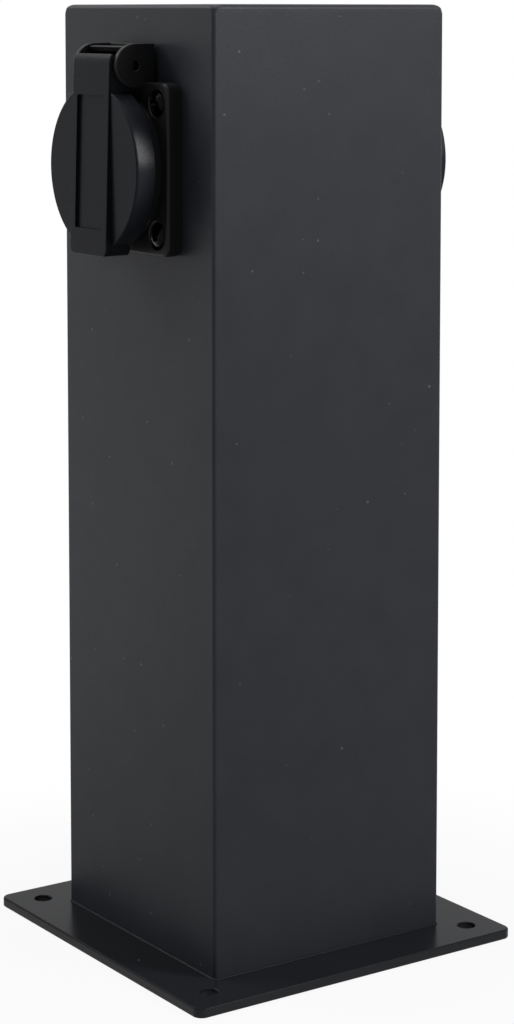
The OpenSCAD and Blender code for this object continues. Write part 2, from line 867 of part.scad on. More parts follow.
// The face that a plug meets, with two pin holes, side guides and slots for the earth clips
module insert() {
    slot_w = strip_w + 4 * slip;
    color(INSERT_BLACK)
        difference() {
            union() {
                translate([0, 0, insert_back])
                    cylinder(d = seat_d - 2 * slip, h = insert_l);
                intersection() {
                    translate([0, 0, floor_z - CUT])
                        cylinder(d = recess_d - 2 * slip, h = guide_l + CUT);
                    for (s = [-1, 1])
                        translate([s * recess_d / 2, 0, floor_z + guide_l / 2 - CUT / 2])
                            cube([2 * guide_d, guide_w, guide_l + CUT], center = true);
                }
            }
            pin_places() {
                translate([0, 0, insert_back])
                    cylinder(d = pin_hole_d, h = insert_l + CUT);
                translate([0, 0, floor_z - pin_lead])
                    cylinder(d1 = pin_hole_d, d2 = pin_hole_d + 4 * pin_lead, h = 2 * pin_lead);
                translate([0, 0, insert_back - CUT])
                    cylinder(d = sleeve_d + 2 * slip, h = pocket_front - insert_back + CUT);
            }
            translate([-slot_w / 2, -seat_d, insert_back - CUT])
                cube([slot_w, 2 * seat_d, strip_front + slip - insert_back + CUT]);
            for (s = [-1, 1])
                translate([-slot_w / 2, s * (leg_up + strip_t / 2 + CUT) - strip_t / 2 - slip - CUT,
                           insert_back - CUT])
                    cube([slot_w, strip_t + 2 * slip + 2 * CUT, insert_l + 2 * CUT]);
        }
}

module insert_cover() {
    color(INSERT_BLACK)
        difference() {
            translate([0, 0, cover_back])
                cylinder(d = seat_d - 2 * slip, h = cover_t);
            pin_places()
                translate([0, 0, cover_back - CUT])
                    cylinder(d = sleeve_d + 2 * slip, h = cover_t + 2 * CUT);
            translate([0, -earth_drop, cover_back + cover_t / 2])
                cube([terminal_w + 2 * slip, terminal_w + 2 * slip, cover_t + 2 * CUT], center = true);
        }
}

// Wire hole from below and clamping screw from behind, in a terminal about the origin
module terminal_holes() {
    translate([0, -terminal_w / 2 - CUT, wire_z])
        rotate([-90, 0, 0])
            cylinder(d = core_hole_d, h = core_l + CUT + 2 * slip);
    translate([0, 0, terminal_back - CUT])
        cylinder(d = clamp_screw_d + 2 * grip, h = wire_z - terminal_back + CUT);
}

// A split sleeve for one pin, with its terminal behind the cover
module pin_contact(s) {
    color(BRASS)
        translate([s * pin_pitch / 2, 0, 0])
            difference() {
                union() {
                    translate([0, 0, terminal_front - CUT])
                        cylinder(d = sleeve_d, h = sleeve_front - terminal_front + CUT);
                    translate([-terminal_w / 2, -terminal_w / 2, terminal_back])
                        cube([terminal_w, terminal_w, terminal_l]);
                }
                translate([0, 0, sleeve_front - sleeve_depth])
                    cylinder(d = sleeve_bore, h = sleeve_depth + CUT);
                translate([0, 0, sleeve_front])
                    cube([sleeve_wall, sleeve_d + CUT, 2 * slit_l], center = true);
                terminal_holes();
            }
}

// The outline of a strip of even thickness to the left of a bent line
function left_of(v) = [-v[1], v[0]];
function strip_side(p, t) =
    let (last = len(p) - 1)
    [for (i = [0 : last])
        let (a = left_of(unit(p[min(i + 1, last)] - p[min(i, last - 1)])),
             b = left_of(unit(p[max(i, 1)] - p[max(i, 1) - 1])),
             m = unit(a + b))
        p[i] + t / (m * a) * m];
function reversed(p) = [for (i = [len(p) - 1 : -1 : 0]) p[i]];

// One strip: a clip at the top and one at the bottom of the recess, joined behind the insert.
// A clip's points lie so far along the clip, and so far in from the wall, in shares of both
CLIP = [[1, 0.45], [0.75, 1], [0.3, 0]];

module earth_contact() {
    clip = [for (p = CLIP) [floor_z + p[0] * clip_l, leg_up - p[1] * clip_in]];
    half = concat(clip, [[strip_front, leg_up]]);
    neck_w = strip_w - 2 * slip;
    low_half = [for (p = reversed(half)) [p[0], -p[1]]];
    line = concat(half, low_half);
    color(BRASS)
        difference() {
            union() {
                across(strip_w)
                    polygon(concat(line, reversed(strip_side(line, -strip_t))));
                translate([-terminal_w / 2, -earth_drop - terminal_w / 2, terminal_back])
                    cube([terminal_w, terminal_w, cover_front - terminal_back]);
                translate([-neck_w / 2, -earth_drop - terminal_w / 2, terminal_back])
                    cube([neck_w, terminal_w, strip_front - strip_t / 2 - terminal_back]);
            }
            translate([0, -earth_drop, 0])
                terminal_holes();
        }
}

module terminal_screws() {
    places = [[-pin_pitch / 2, 0], [pin_pitch / 2, 0], [0, -earth_drop]];
    color(BRIGHT_STEEL)
        for (p = places)
            translate([p[0], p[1], terminal_back])
                mirror([0, 0, 1])
                    slotted_screw(clamp_screw_d, wire_z - core_d / 2 - slip - terminal_back,
                                  clamp_head_d, clamp_head_h);
}

// The lid

// The strap from the side: thick over the lid, a thin curved hood in front of the hinge
module strap_profile() {
    difference() {
        union() {
            polygon([
                [lid_back, strap_end],
                [strap_at(strap_end), strap_end],
                [hinge_out, hinge_up] + hood_r * [cos(strap_lean), sin(strap_lean)],
                [lid_back, hinge_up]
            ]);
            hinge_wedge(hood_r, -1, hood_turn);
        }
        translate([hinge_out, hinge_up])
            circle(hood_in);
    }
}

// The strap from the front, with rounded lower corners
module strap_outline() {
    top = hinge_up + hood_r;
    translate([-strap_w / 2, strap_end + strap_r])
        square([strap_w, top - strap_end - strap_r]);
    translate([-strap_w / 2 + strap_r, strap_end])
        square([strap_w - 2 * strap_r, 2 * strap_r]);
    for (s = [-1, 1])
        translate([s * (strap_w / 2 - strap_r), strap_end + strap_r])
            circle(strap_r);
}

// A barrel on the hinge pin, webbed to the hood low enough to stop short of the roof
module hinge_barrel() {
    translate([0, hinge_up, hinge_out])
        bar(barrel_r, barrel_l);
    across(barrel_l)
        translate([hinge_out, hinge_up])
            intersection() {
                circle(hood_in + hood_wall / 2);
                rotate(-web_lean)
                    translate([0, web_top - web_t])
                        square([hood_r, web_t]);
            }
}

module lid() {
    color(PLASTIC_BLACK)
        difference() {
            union() {
                translate([0, 0, lid_back])
                    rotate_extrude() {
                        square([lid_d / 2 - lid_ease, lid_t]);
                        square([lid_d / 2, lid_t - lid_ease]);
                        translate([lid_d / 2 - lid_ease, lid_t - lid_ease])
                            circle(lid_ease);
                    }
                intersection() {
                    across(strap_w)
                        strap_profile();
                    linear_extrude(strap_at(strap_end) + CUT)
                        strap_outline();
                }
                for (s = [-1, 1])
                    translate([s * barrel_x, 0, 0])
                        hinge_barrel();
            }
            translate([0, 0, lid_back - CUT])
                cylinder(d = pocket_d, h = ceiling - lid_back + CUT);
            translate([0, 0, strap_front])
                rotate([-strap_lean, 0, 0])
                    translate([0, strap_end + panel_low + panel_l / 2, -panel_sink])
                        linear_extrude(panel_sink + CUT)
                            rounded_square(strap_w - 2 * panel_margin, panel_l, strap_r / 2);
            translate([0, hinge_up, hinge_out])
                bar(pin_d / 2 + run, strap_w + CUT);
        }
}

module lid_seal() {
    color(RUBBER_BLACK)
        translate([0, 0, seal_back])
            difference() {
                cylinder(d = pocket_d - 2 * slip, h = seal_t);
                translate([0, 0, -CUT])
                    cylinder(d = recess_d, h = seal_t + 2 * CUT);
            }
}

module hinge_pin() {
    color(BRIGHT_STEEL)
        translate([0, hinge_up, hinge_out])
            bar(pin_d / 2, 2 * ear_out - 2 * loose);
}

// A torsion spring: its rear leg leans on the plate, its front leg lies on the lid's web
SPRING_SIDES = 6;
SPRING_STEPS = 10;
function coil_point(a, x) = [x, coil_r * sin(a), coil_r * cos(a)];
spring_first = 135;
spring_last = 90 - web_lean - 360 * spring_turns;
spring_count = SPRING_STEPS * spring_turns;
spring_l = spring_pitch * (spring_first - spring_last) / 360;
rear_reach = hinge_out - gasket_t - back_t - spring_wire / 2 - slip;
rear_leg_l = (rear_reach + coil_r * cos(spring_first)) / sin(spring_first);
coil = [
    for (i = [0 : spring_count])
        let (a = spring_first + (spring_last - spring_first) * i / spring_count)
        coil_point(a, spring_l * (i / spring_count - 0.5))
];
rear_tip = coil[0] + rear_leg_l * [0, cos(spring_first), -sin(spring_first)];
// The front leg bends sideways onto the web: shares of the way sideways and of its length
LEG = [[0.025, 0.43], [0.12, 0.78], [1, 1]];
front_leg = [
    for (p = LEG)
        let (along = p[1] * front_leg_l)
        [
            spring_l / 2 + p[0] * (barrel_x - spring_l / 2),
            coil_r * cos(web_lean) - along * sin(web_lean),
            coil_r * sin(web_lean) + along * cos(web_lean)
        ]
];
spring_path = concat([rear_tip], coil, front_leg);
spring_gap = min([
    for (i = [0 : spring_count - SPRING_STEPS], k = [SPRING_STEPS - 2 : SPRING_STEPS + 2])
        if (i + k <= spring_count) norm(coil[i] - coil[i + k])
]) - spring_wire;
echo(str("least gap between the lid spring's turns: ", spring_gap, " mm"));

module lid_spring() {
    color(BRIGHT_STEEL)
        translate([0, hinge_up, hinge_out])
            tube(spring_path, [for (p = spring_path) spring_wire / 2], SPRING_SIDES, [1, 0, 0]);
}

column();
top_plate();
base_plate();
base_weld();
terminal_bracket();
terminal_block();
block_clamps();
block_clamp_screws();
block_fixing_screws();
earth_stud();
earth_lug();
earth_washer();
earth_nut();
post_earth_wire();
live_wire(FRONT);  // front_live_wire
neutral_wire(FRONT);  // front_neutral_wire
earth_wire(FRONT);  // front_earth_wire
live_wire(REAR);  // rear_live_wire
neutral_wire(REAR);  // rear_neutral_wire
earth_wire(REAR);  // rear_earth_wire
on_face(FRONT) gasket();  // front_gasket
on_face(FRONT) housing();  // front_housing
on_face(FRONT) flange_screws();  // front_flange_screws
on_face(FRONT) insert();  // front_insert
on_face(FRONT) insert_cover();  // front_insert_cover
on_face(FRONT) pin_contact(-1);  // front_live_contact
on_face(FRONT) pin_contact(1);  // front_neutral_contact
on_face(FRONT) earth_contact();  // front_earth_contact
on_face(FRONT) terminal_screws();  // front_terminal_screws
on_face(FRONT) lid();  // front_lid
on_face(FRONT) lid_seal();  // front_lid_seal
on_face(FRONT) hinge_pin();  // front_hinge_pin
on_face(FRONT) lid_spring();  // front_lid_spring
on_face(REAR) gasket();  // rear_gasket
on_face(REAR) housing();  // rear_housing
on_face(REAR) flange_screws();  // rear_flange_screws
on_face(REAR) insert();  // rear_insert
on_face(REAR) insert_cover();  // rear_insert_cover
on_face(REAR) pin_contact(1);  // rear_live_contact
on_face(REAR) pin_contact(-1);  // rear_neutral_contact
on_face(REAR) earth_contact();  // rear_earth_contact
on_face(REAR) terminal_screws();  // rear_terminal_screws
on_face(REAR) lid();  // rear_lid
on_face(REAR) lid_seal();  // rear_lid_seal
on_face(REAR) hinge_pin();  // rear_hinge_pin
on_face(REAR) lid_spring();  // rear_lid_spring
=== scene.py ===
"""Looks of the garden socket post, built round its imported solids.

Sizes are in millimetres in the classes and in metres in the finished meshes. The post stands on
the origin with +Z up, and its front socket faces -Y. A socket's own axes are X along the
column's face, Y up and Z outwards, and its distances out are measured from the column's face.
"""

import logging
import math
from collections.abc import Callable, Iterable, Sequence
from dataclasses import dataclass
from enum import Enum

import bmesh
import bpy
from bmesh.types import BMEdge, BMesh, BMVert
from mathutils import Matrix, Vector, noise


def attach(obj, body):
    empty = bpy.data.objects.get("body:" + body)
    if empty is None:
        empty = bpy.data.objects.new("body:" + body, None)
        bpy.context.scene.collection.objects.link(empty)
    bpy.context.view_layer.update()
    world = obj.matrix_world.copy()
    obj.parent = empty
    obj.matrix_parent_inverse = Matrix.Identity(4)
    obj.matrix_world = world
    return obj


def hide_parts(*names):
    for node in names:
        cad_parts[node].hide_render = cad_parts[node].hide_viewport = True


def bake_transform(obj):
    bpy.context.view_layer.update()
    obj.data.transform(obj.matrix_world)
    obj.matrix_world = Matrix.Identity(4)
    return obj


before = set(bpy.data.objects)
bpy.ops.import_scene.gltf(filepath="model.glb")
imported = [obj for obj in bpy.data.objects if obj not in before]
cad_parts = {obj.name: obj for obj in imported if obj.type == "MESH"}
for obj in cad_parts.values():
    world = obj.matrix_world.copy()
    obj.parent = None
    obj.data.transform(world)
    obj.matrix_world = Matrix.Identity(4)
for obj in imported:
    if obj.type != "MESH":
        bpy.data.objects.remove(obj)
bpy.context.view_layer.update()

LOG = logging.getLogger("socket_post")

Point = tuple[float, float]
Spot = tuple[float, float, float]
Colour = tuple[float, float, float]
Piece = bpy.types.Object
Node = bpy.types.Node
Port = bpy.types.NodeSocket
Source = Port | float | tuple[float, ...]

TO_METRES = Matrix.Scale(0.001, 4)
SWAP_X_Z = Matrix(((0, 0, 1, 0), (0, 1, 0, 0), (1, 0, 0, 0), (0, 0, 0, 1)))
QUARTER = math.pi / 2
MERGE = 1e-4  # Distance at which two points are one
OVER = 1.0  # How far a cutter reaches past what it cuts
PLATE_STEPS = 8  # Steps of a plate's corner
WIRE_ROUNDS = 3  # Blender's resolution of a wire's section
NOISE_SPAN = (0.3, 0.7)  # Where most values of a noise texture lie
UNIT = (0.0, 1.0)
SIDES = (-1, 1)
SQUARE = ((-1, -1), (1, -1), (1, 1), (-1, 1))  # The corners in turn
CORNERS = tuple((x, y) for x in SIDES for y in SIDES)

COLUMN = 82.5  # Width of the column
COLUMN_EDGE = 1.0  # Radius of its upright edges
SOCKET_UP = 237.5  # Height of the sockets' middles
PIN_AT = 9.5  # Distance of a plug's pin from the middle


class Body(Enum):
    """The bodies that pieces ride on."""

    POST = "post"
    FRONT_FLAP = "front_flap"
    REAR_FLAP = "rear_flap"


class Side(Enum):
    """A face of the column that carries a socket."""

    FRONT = "front"
    REAR = "rear"

    @property
    def flap(self) -> Body:
        """The body that this side's lid belongs to."""
        return Body.FRONT_FLAP if self is Side.FRONT else Body.REAR_FLAP

    @property
    def sign(self) -> int:
        """+1 where the socket's X is the post's X, and -1 where it is turned round."""
        return 1 if self is Side.FRONT else -1

    @property
    def turn(self) -> Matrix:
        """Turns the front to this side."""
        return Matrix.Rotation(0.0 if self is Side.FRONT else math.pi, 4, "Z")


class Cut(Enum):
    """What a Boolean does with the second shape."""

    TAKE_AWAY = "DIFFERENCE"
    ADD = "UNION"


# Meshes


class Workpiece:
    """A mesh in the making, in millimetres in its maker's axes."""

    def __init__(self) -> None:
        """Starts with nothing."""
        self.bm: BMesh = bmesh.new()

    def lathe(self, profile: Sequence[Point], steps: int = 96, closed: bool = False) -> "Workpiece":
        """Turns a profile about the Z axis.

        Args:
            profile: Points of radius and height.
            steps: Steps of a full turn.
            closed: Whether the last point joins the first, as in a ring's section.

        Returns:
            The workpiece.
        """
        verts = [self.bm.verts.new((r, 0.0, h)) for r, h in profile]
        pairs = list(zip(verts, verts[1:]))
        if closed:
            pairs.append((verts[-1], verts[0]))
        edges = [self.bm.edges.new(pair) for pair in pairs]
        bmesh.ops.spin(
            self.bm, geom=verts + edges, cent=(0, 0, 0), axis=(0, 0, 1), angle=2 * math.pi, steps=steps,
            use_merge=True,
        )
        return self.tidy()

    def draw_up(self, rise: float) -> "Workpiece":
        """Draws every face out along the Z axis.

        Args:
            rise: How far.

        Returns:
            The workpiece.
        """
        grown = bmesh.ops.extrude_face_region(self.bm, geom=list(self.bm.faces))["geom"]
        upper = [g for g in grown if isinstance(g, BMVert)]
        bmesh.ops.translate(self.bm, verts=upper, vec=(0, 0, rise))
        return self.tidy()

    def prism(self, outline: Sequence[Point], low: float, high: float) -> "Workpiece":
        """Draws an outline out along the Z axis, from one height to another."""
        self.bm.faces.new([self.bm.verts.new((x, y, low)) for x, y in outline])
        return self.draw_up(high - low)

    def across(self, outline: Sequence[Point], low: float, high: float) -> "Workpiece":
        """Draws a side view, of points of distance out and height, along the X axis."""
        return self.prism(outline, low, high).move(SWAP_X_Z)

    def rounded(self, size: Point, radius: float, height: float, steps: int) -> "Workpiece":
        """A level face with rounded corners, about the Z axis.

        Args:
            size: Sizes along X and Y.
            radius: Radius of its corners.
            height: Its height.
            steps: Steps of one corner.

        Returns:
            The workpiece.
        """
        corners = [self.bm.verts.new((x * size[0] / 2, y * size[1] / 2, height)) for x, y in SQUARE]
        self.bm.faces.new(corners)
        bmesh.ops.bevel(
            self.bm, geom=corners, offset=radius, offset_type="OFFSET", segments=steps, profile=0.5,
            affect="VERTICES", material=-1,
        )
        return self

    def plate(self, size: Point, radius: float, low: float, high: float) -> "Workpiece":
        """A plate with rounded upright corners about the Z axis, from one height to another."""
        return self.rounded(size, radius, low, PLATE_STEPS).draw_up(high - low)

    def loft(self, rings: Sequence[Spot], steps: int) -> "Workpiece":
        """Joins rounded squares at rising heights into one closed shape.

        Args:
            rings: Width, corner radius and height of each square, from below.
            steps: Steps of one corner.

        Returns:
            The workpiece.
        """
        bm = self.bm
        below: list[BMEdge] = []
        for width, radius, height in rings:
            self.rounded((width, width), radius, height, steps)
            loop = [e for e in bm.edges if all(abs(v.co.z - height) < MERGE for v in e.verts)]
            if height not in (rings[0][2], rings[-1][2]):
                inner = [f for f in bm.faces if all(abs(v.co.z - height) < MERGE for v in f.verts)]
                bmesh.ops.delete(bm, geom=inner, context="FACES_ONLY")
            if below:
                bmesh.ops.bridge_loops(bm, edges=below + loop)
            below = loop
        return self.tidy()

    def soften(
        self,
        width: float,
        segments: int = 3,
        least: float = 60.0,
        where: Callable[[BMEdge], bool] | None = None,
    ) -> "Workpiece":
        """Rounds sharp edges.

        Args:
            width: How far the rounding reaches from the edge.
            segments: Faces across the rounding.
            least: Least angle of an edge that is rounded, in degrees.
            where: Picks among those edges, or None for all of them.

        Returns:
            The workpiece.
        """
        least_angle = math.radians(least)
        sharp = [e for e in self.bm.edges if len(e.link_faces) == 2 and e.calc_face_angle(0.0) > least_angle]
        if where:
            sharp = [e for e in sharp if where(e)]
        bmesh.ops.bevel(
            self.bm, geom=sharp, offset=width, offset_type="OFFSET", segments=segments, profile=0.5,
            affect="EDGES", clamp_overlap=True, material=-1,
        )
        return self

    def move(self, matrix: Matrix) -> "Workpiece":
        """Moves or turns the workpiece."""
        bmesh.ops.transform(self.bm, matrix=matrix, verts=self.bm.verts)
        return self.tidy()

    def tidy(self) -> "Workpiece":
        """Merges doubles and turns every face outwards.

        Returns:
            The workpiece.
        """
        bmesh.ops.remove_doubles(self.bm, verts=self.bm.verts, dist=MERGE)
        bmesh.ops.recalc_face_normals(self.bm, faces=self.bm.faces)
        return self

    def take(self, other: "Workpiece") -> "Workpiece":
        """Takes another workpiece's mesh in as it is.

        Args:
            other: The other workpiece, which ends here.

        Returns:
            The workpiece.
        """
        mesh = bpy.data.meshes.new("passing")
        other.bm.to_mesh(mesh)
        other.bm.free()
        self.bm.from_mesh(mesh)
        bpy.data.meshes.remove(mesh)
        return self

    def loose(self, name: str) -> Piece:
        """Makes a plain object of the workpiece, which ends here.

        Args:
            name: Name of the object.

        Returns:
            The object.
        """
        mesh = bpy.data.meshes.new(name)
        self.bm.to_mesh(mesh)
        self.bm.free()
        made = bpy.data.objects.new(name, mesh)
        bpy.context.scene.collection.objects.link(made)
        return made

    def combine(self, how: Cut, *others: "Workpiece") -> "Workpiece":
        """Adds other shapes to this one, or takes them away from it.

        Args:
            how: Whether to add or take away.
            others: The other shapes, which end here.

        Returns:
            The workpiece.
        """
        base = self.loose("base_shape")
        tools = [other.loose("tool_shape") for other in others]
        for tool in tools:
            step = base.modifiers.new("step", "BOOLEAN")
            step.operation = how.value
            step.solver = "EXACT"
            step.object = tool
        mesh = bpy.data.meshes.new_from_object(base.evaluated_get(bpy.context.evaluated_depsgraph_get()))
        self.bm = bmesh.new()
        self.bm.from_mesh(mesh)
        for used in (base, *tools):
            old = used.data
            bpy.data.objects.remove(used)
            bpy.data.meshes.remove(old)
        bpy.data.meshes.remove(mesh)
        return self

    def finish(self, name: str, place: Matrix, smooth: float = 35.0) -> Piece:
        """Makes the finished piece, at the origin with its place in its mesh.

        Args:
            name: Name of the piece.
            place: Matrix from the maker's millimetres to the post's metres.
            smooth: Angle up to which faces shade as one surface, in degrees.

        Returns:
            The piece.
        """
        self.tidy()
        bmesh.ops.dissolve_degenerate(self.bm, dist=MERGE, edges=self.bm.edges)
        bmesh.ops.transform(self.bm, matrix=place, verts=self.bm.verts)
        made = self.loose(name)
        made.data.shade_smooth()
        made.data.set_sharp_from_angle(angle=math.radians(smooth))
        even = made.modifiers.new("even_shading", "WEIGHTED_NORMAL")
        even.mode = "FACE_AREA"
        even.keep_sharp = True
        return made


def rod(radius: float, first: float, last: float, steps: int = 96) -> Workpiece:
    """A plain cylinder on the Z axis, from one height to another."""
    return Workpiece().lathe([(0, first), (radius, first), (radius, last), (0, last)], steps)


def spindle(half: Sequence[Point], steps: int) -> Workpiece:
    """Turns half a profile and its mirror image about the Z axis."""
    return Workpiece().lathe([*half, *((r, -h) for r, h in reversed(half))], steps)


def oblong(x: Sequence[float], y: Sequence[float]) -> list[Point]:
    """The corners of a rectangle between two values of X and two of Y."""
    return [(x[0], y[0]), (x[1], y[0]), (x[1], y[1]), (x[0], y[1])]


def arc(centre: Point, radius: float, start: float, end: float, steps: int) -> list[Point]:
    """Points of an arc from one angle in degrees to another, both ends among them."""
    angles = [math.radians(start + (end - start) * i / steps) for i in range(steps + 1)]
    return [(centre[0] + radius * math.cos(a), centre[1] + radius * math.sin(a)) for a in angles]


def over(height: float) -> Callable[[BMEdge], bool]:
    """A test of whether an edge lies at or over a height."""
    return lambda edge: all(v.co.z > height - MERGE for v in edge.verts)


def along_z(edge: BMEdge) -> bool:
    """Whether an edge runs along Z."""
    way = edge.verts[1].co - edge.verts[0].co
    return abs(way.x) < MERGE and abs(way.y) < MERGE


def wire_piece(name: str, path: Sequence[Vector], radii: Sequence[float], place: Matrix) -> Piece:
    """A round wire along a path.

    Args:
        name: Name of the piece.
        path: Points of the wire's middle line.
        radii: Radius at each point.
        place: Matrix from the path's millimetres to the post's metres.

    Returns:
        The piece, with closed ends.
    """
    curve = bpy.data.curves.new(name, "CURVE")
    curve.dimensions = "3D"
    curve.bevel_depth = 1.0
    curve.bevel_resolution = WIRE_ROUNDS
    curve.use_fill_caps = True
    line = curve.splines.new("POLY")
    line.points.add(len(path) - 1)
    for point, at, radius in zip(line.points, path, radii):
        point.co = (*at, 1.0)
        point.radius = radius
    drawn = bpy.data.objects.new(name, curve)
    bpy.context.scene.collection.objects.link(drawn)
    mesh = bpy.data.meshes.new_from_object(drawn.evaluated_get(bpy.context.evaluated_depsgraph_get()))
    part = Workpiece()
    part.bm.from_mesh(mesh)
    bpy.data.objects.remove(drawn)
    bpy.data.curves.remove(curve)
    bpy.data.meshes.remove(mesh)
    return part.finish(name, place, smooth=50.0)


# Finishes


class Sheet:
    """Short ways of adding and joining the nodes of one tree."""

    def __init__(self, tree: bpy.types.NodeTree) -> None:
        """Takes a material's, a world's or a group's node tree to work on."""
        self.tree = tree

    def put(self, source: Source, target: Port) -> None:
        """Joins a socket to an input, or sets the input to a value.

        Args:
            source: The socket or the value.
            target: The input.
        """
        if isinstance(source, Port):
            self.tree.links.new(source, target)
        else:
            target.default_value = source

    def feed(self, node: Node, **inputs: Source) -> Node:
        """Puts sockets or values into a node's inputs.

        Args:
            node: The node.
            inputs: What goes into each input, by its name with _ for a space.

        Returns:
            The node.
        """
        for key, source in inputs.items():
            self.put(source, node.inputs[key.replace("_", " ")])
        return node

    def add(self, kind: str, **inputs: Source) -> Node:
        """Adds a node of one of Blender's types, and feeds it."""
        return self.feed(self.tree.nodes.new(kind), **inputs)

    def sum(self, how: str, *terms: Source) -> Port:
        """A Math node.

        Args:
            how: Blender's name of the operation.
            terms: One or two terms.

        Returns:
            Its result.
        """
        made = self.add("ShaderNodeMath")
        made.operation = how
        for target, term in zip(made.inputs, terms):
            self.put(term, target)
        return made.outputs[0]

    def span(self, source: Port, given: Point, wanted: Point) -> Port:
        """A Map Range node, which turns two given values into two wanted ones."""
        ends = zip(("From_Min", "From_Max", "To_Min", "To_Max"), (*given, *wanted))
        return self.add("ShaderNodeMapRange", Value=source, **dict(ends)).outputs["Result"]

    def blend(self, share: Port, first: Colour | Port, second: Colour) -> Port:
        """A colour mix.

        Args:
            share: Share of the second colour.
            first: First colour, or a socket that gives it.
            second: Second colour.

        Returns:
            The mixed colour.
        """
        made = self.add("ShaderNodeMix")
        made.data_type = "RGBA"
        self.feed(made, Factor=share)
        colours = [s for s in made.inputs if s.type == "RGBA"]
        for target, source in zip(colours, (first, second)):
            self.put((*source, 1.0) if isinstance(source, tuple) else source, target)
        return next(s for s in made.outputs if s.type == "RGBA")


class Effect:
    """A node group that several finishes share."""

    def __init__(self, name: str, inputs: Sequence[str], outputs: Sequence[str]) -> None:
        """Starts a group that takes a Vector, and otherwise takes and gives numbers.

        Args:
            name: Name of the group.
            inputs: Names of the inputs after Vector.
            outputs: Names of the outputs.
        """
        self.tree = bpy.data.node_groups.new(name, "ShaderNodeTree")
        self.tree.interface.new_socket("Vector", in_out="INPUT", socket_type="NodeSocketVector")
        for names, way in ((inputs, "INPUT"), (outputs, "OUTPUT")):
            for key in names:
                self.tree.interface.new_socket(key, in_out=way, socket_type="NodeSocketFloat")
        self.sheet = Sheet(self.tree)
        self.given = self.sheet.add("NodeGroupInput").outputs
        self.result = self.sheet.add("NodeGroupOutput")

    def pattern(self, kind: str, size: str, **inputs: float) -> Node:
        """Adds a texture along Vector, at the size that the named input gives."""
        scale = self.sheet.sum("DIVIDE", 1.0, self.given[size])
        return self.sheet.add(kind, Vector=self.given["Vector"], Scale=scale, **inputs)

    def use(self, sheet: Sheet, **inputs: Source) -> Node:
        """Places the group in a finish.

        Args:
            sheet: The finish's nodes.
            inputs: What goes into the group's inputs.

        Returns:
            The group's node.
        """
        made = sheet.add("ShaderNodeGroup")
        made.node_tree = self.tree
        return sheet.feed(made, **inputs)


def grain_effect() -> Effect:
    """Fine grain of a coated or moulded surface, with soft clouds over it.

    Returns:
        A group that puts out Height, the grain, and Cloud, both from 0 to 1.
    """
    effect = Effect("surface_grain", ("Grain Size", "Cloud Size"), ("Height", "Cloud"))
    fine = effect.pattern("ShaderNodeTexNoise", "Grain Size", Detail=2.5, Roughness=0.55)
    cloud = effect.pattern("ShaderNodeTexNoise", "Cloud Size", Detail=3.0)
    spread = effect.sheet.span(cloud.outputs["Fac"], NOISE_SPAN, UNIT)
    effect.sheet.feed(effect.result, Height=fine.outputs["Fac"], Cloud=spread)
    return effect


def speck_effect() -> Effect:
    """Small scattered specks, such as dust and grit in a coat.

    Returns:
        A group that puts out Mask, which is 1 in a speck.
    """
    effect = Effect("fine_specks", ("Spacing", "Share", "Speck"), ("Mask",))
    sheet, given = effect.sheet, effect.given
    cells = effect.pattern("ShaderNodeTexVoronoi", "Spacing")
    pick = sheet.add("ShaderNodeSeparateColor", Color=cells.outputs["Color"])
    chosen = sheet.sum("LESS_THAN", pick.outputs["Red"], given["Share"])
    reach = sheet.sum("MULTIPLY", pick.outputs["Green"], given["Speck"])
    inside = sheet.sum("LESS_THAN", cells.outputs["Distance"], reach)
    sheet.feed(effect.result, Mask=sheet.sum("MULTIPLY", chosen, inside))
    return effect


GRAIN = grain_effect()
SPECKS = speck_effect()


@dataclass(frozen=True)
class Finish:
    """A surface with fine grain, soft clouds of tone and a few specks. Its lengths are in metres."""

    name: str
    slot: str  # The record's material slot
    dark: Colour  # Colour in the dark clouds
    light: Colour  # Colour in the light clouds
    rough: Point = (0.45, 0.55)  # Least and greatest roughness
    specular: float = 0.5
    metallic: float = 0.0  # 1 for bare metal
    grain: float = 0.0006  # Size of the grain
    depth: float = 0.00002  # Depth of the grain
    cloud: float = 0.03  # Size of the clouds
    specks: float = 0.0  # Spacing of specks, or 0 for none
    speck_share: float = 0.06  # Share of the cells that hold a speck
    speck_size: float = 0.105  # Radius of the largest speck, as a share of the spacing
    speck_tone: Colour = (0.092, 0.096, 0.102)

    def colour(self, sheet: Sheet, cloud: Port, place: Port) -> Port:
        """The surface's colour.

        Args:
            sheet: The material's nodes.
            cloud: The clouds of tone.
            place: Where the pattern lies.

        Returns:
            The colour.
        """
        tone = sheet.blend(cloud, self.dark, self.light)
        if self.specks:
            specks = SPECKS.use(
                sheet, Vector=place, Spacing=self.specks, Share=self.speck_share, Speck=self.speck_size
            )
            tone = sheet.blend(specks.outputs["Mask"], tone, self.speck_tone)
        return tone

    def gloss(self, sheet: Sheet, place: Port) -> Source:
        """The specular level."""
        return self.specular

    def make(self) -> bpy.types.Material:
        """Builds the material.

        Returns:
            The material.
        """
        made = bpy.data.materials.new(self.name)
        made.use_nodes = True
        sheet = Sheet(made.node_tree)
        place = sheet.add("ShaderNodeTexCoord").outputs["Object"]
        grain = GRAIN.use(sheet, Vector=place, Grain_Size=self.grain, Cloud_Size=self.cloud).outputs
        bump = sheet.add("ShaderNodeBump", Strength=1.0, Distance=self.depth, Height=grain["Height"])
        sheet.feed(
            made.node_tree.nodes["Principled BSDF"],
            Base_Color=self.colour(sheet, grain["Cloud"], place),
            Roughness=sheet.span(grain["Height"], NOISE_SPAN, self.rough),
            Normal=bump.outputs["Normal"],
            Metallic=self.metallic,
            Specular_IOR_Level=self.gloss(sheet, place),
        )
        return made


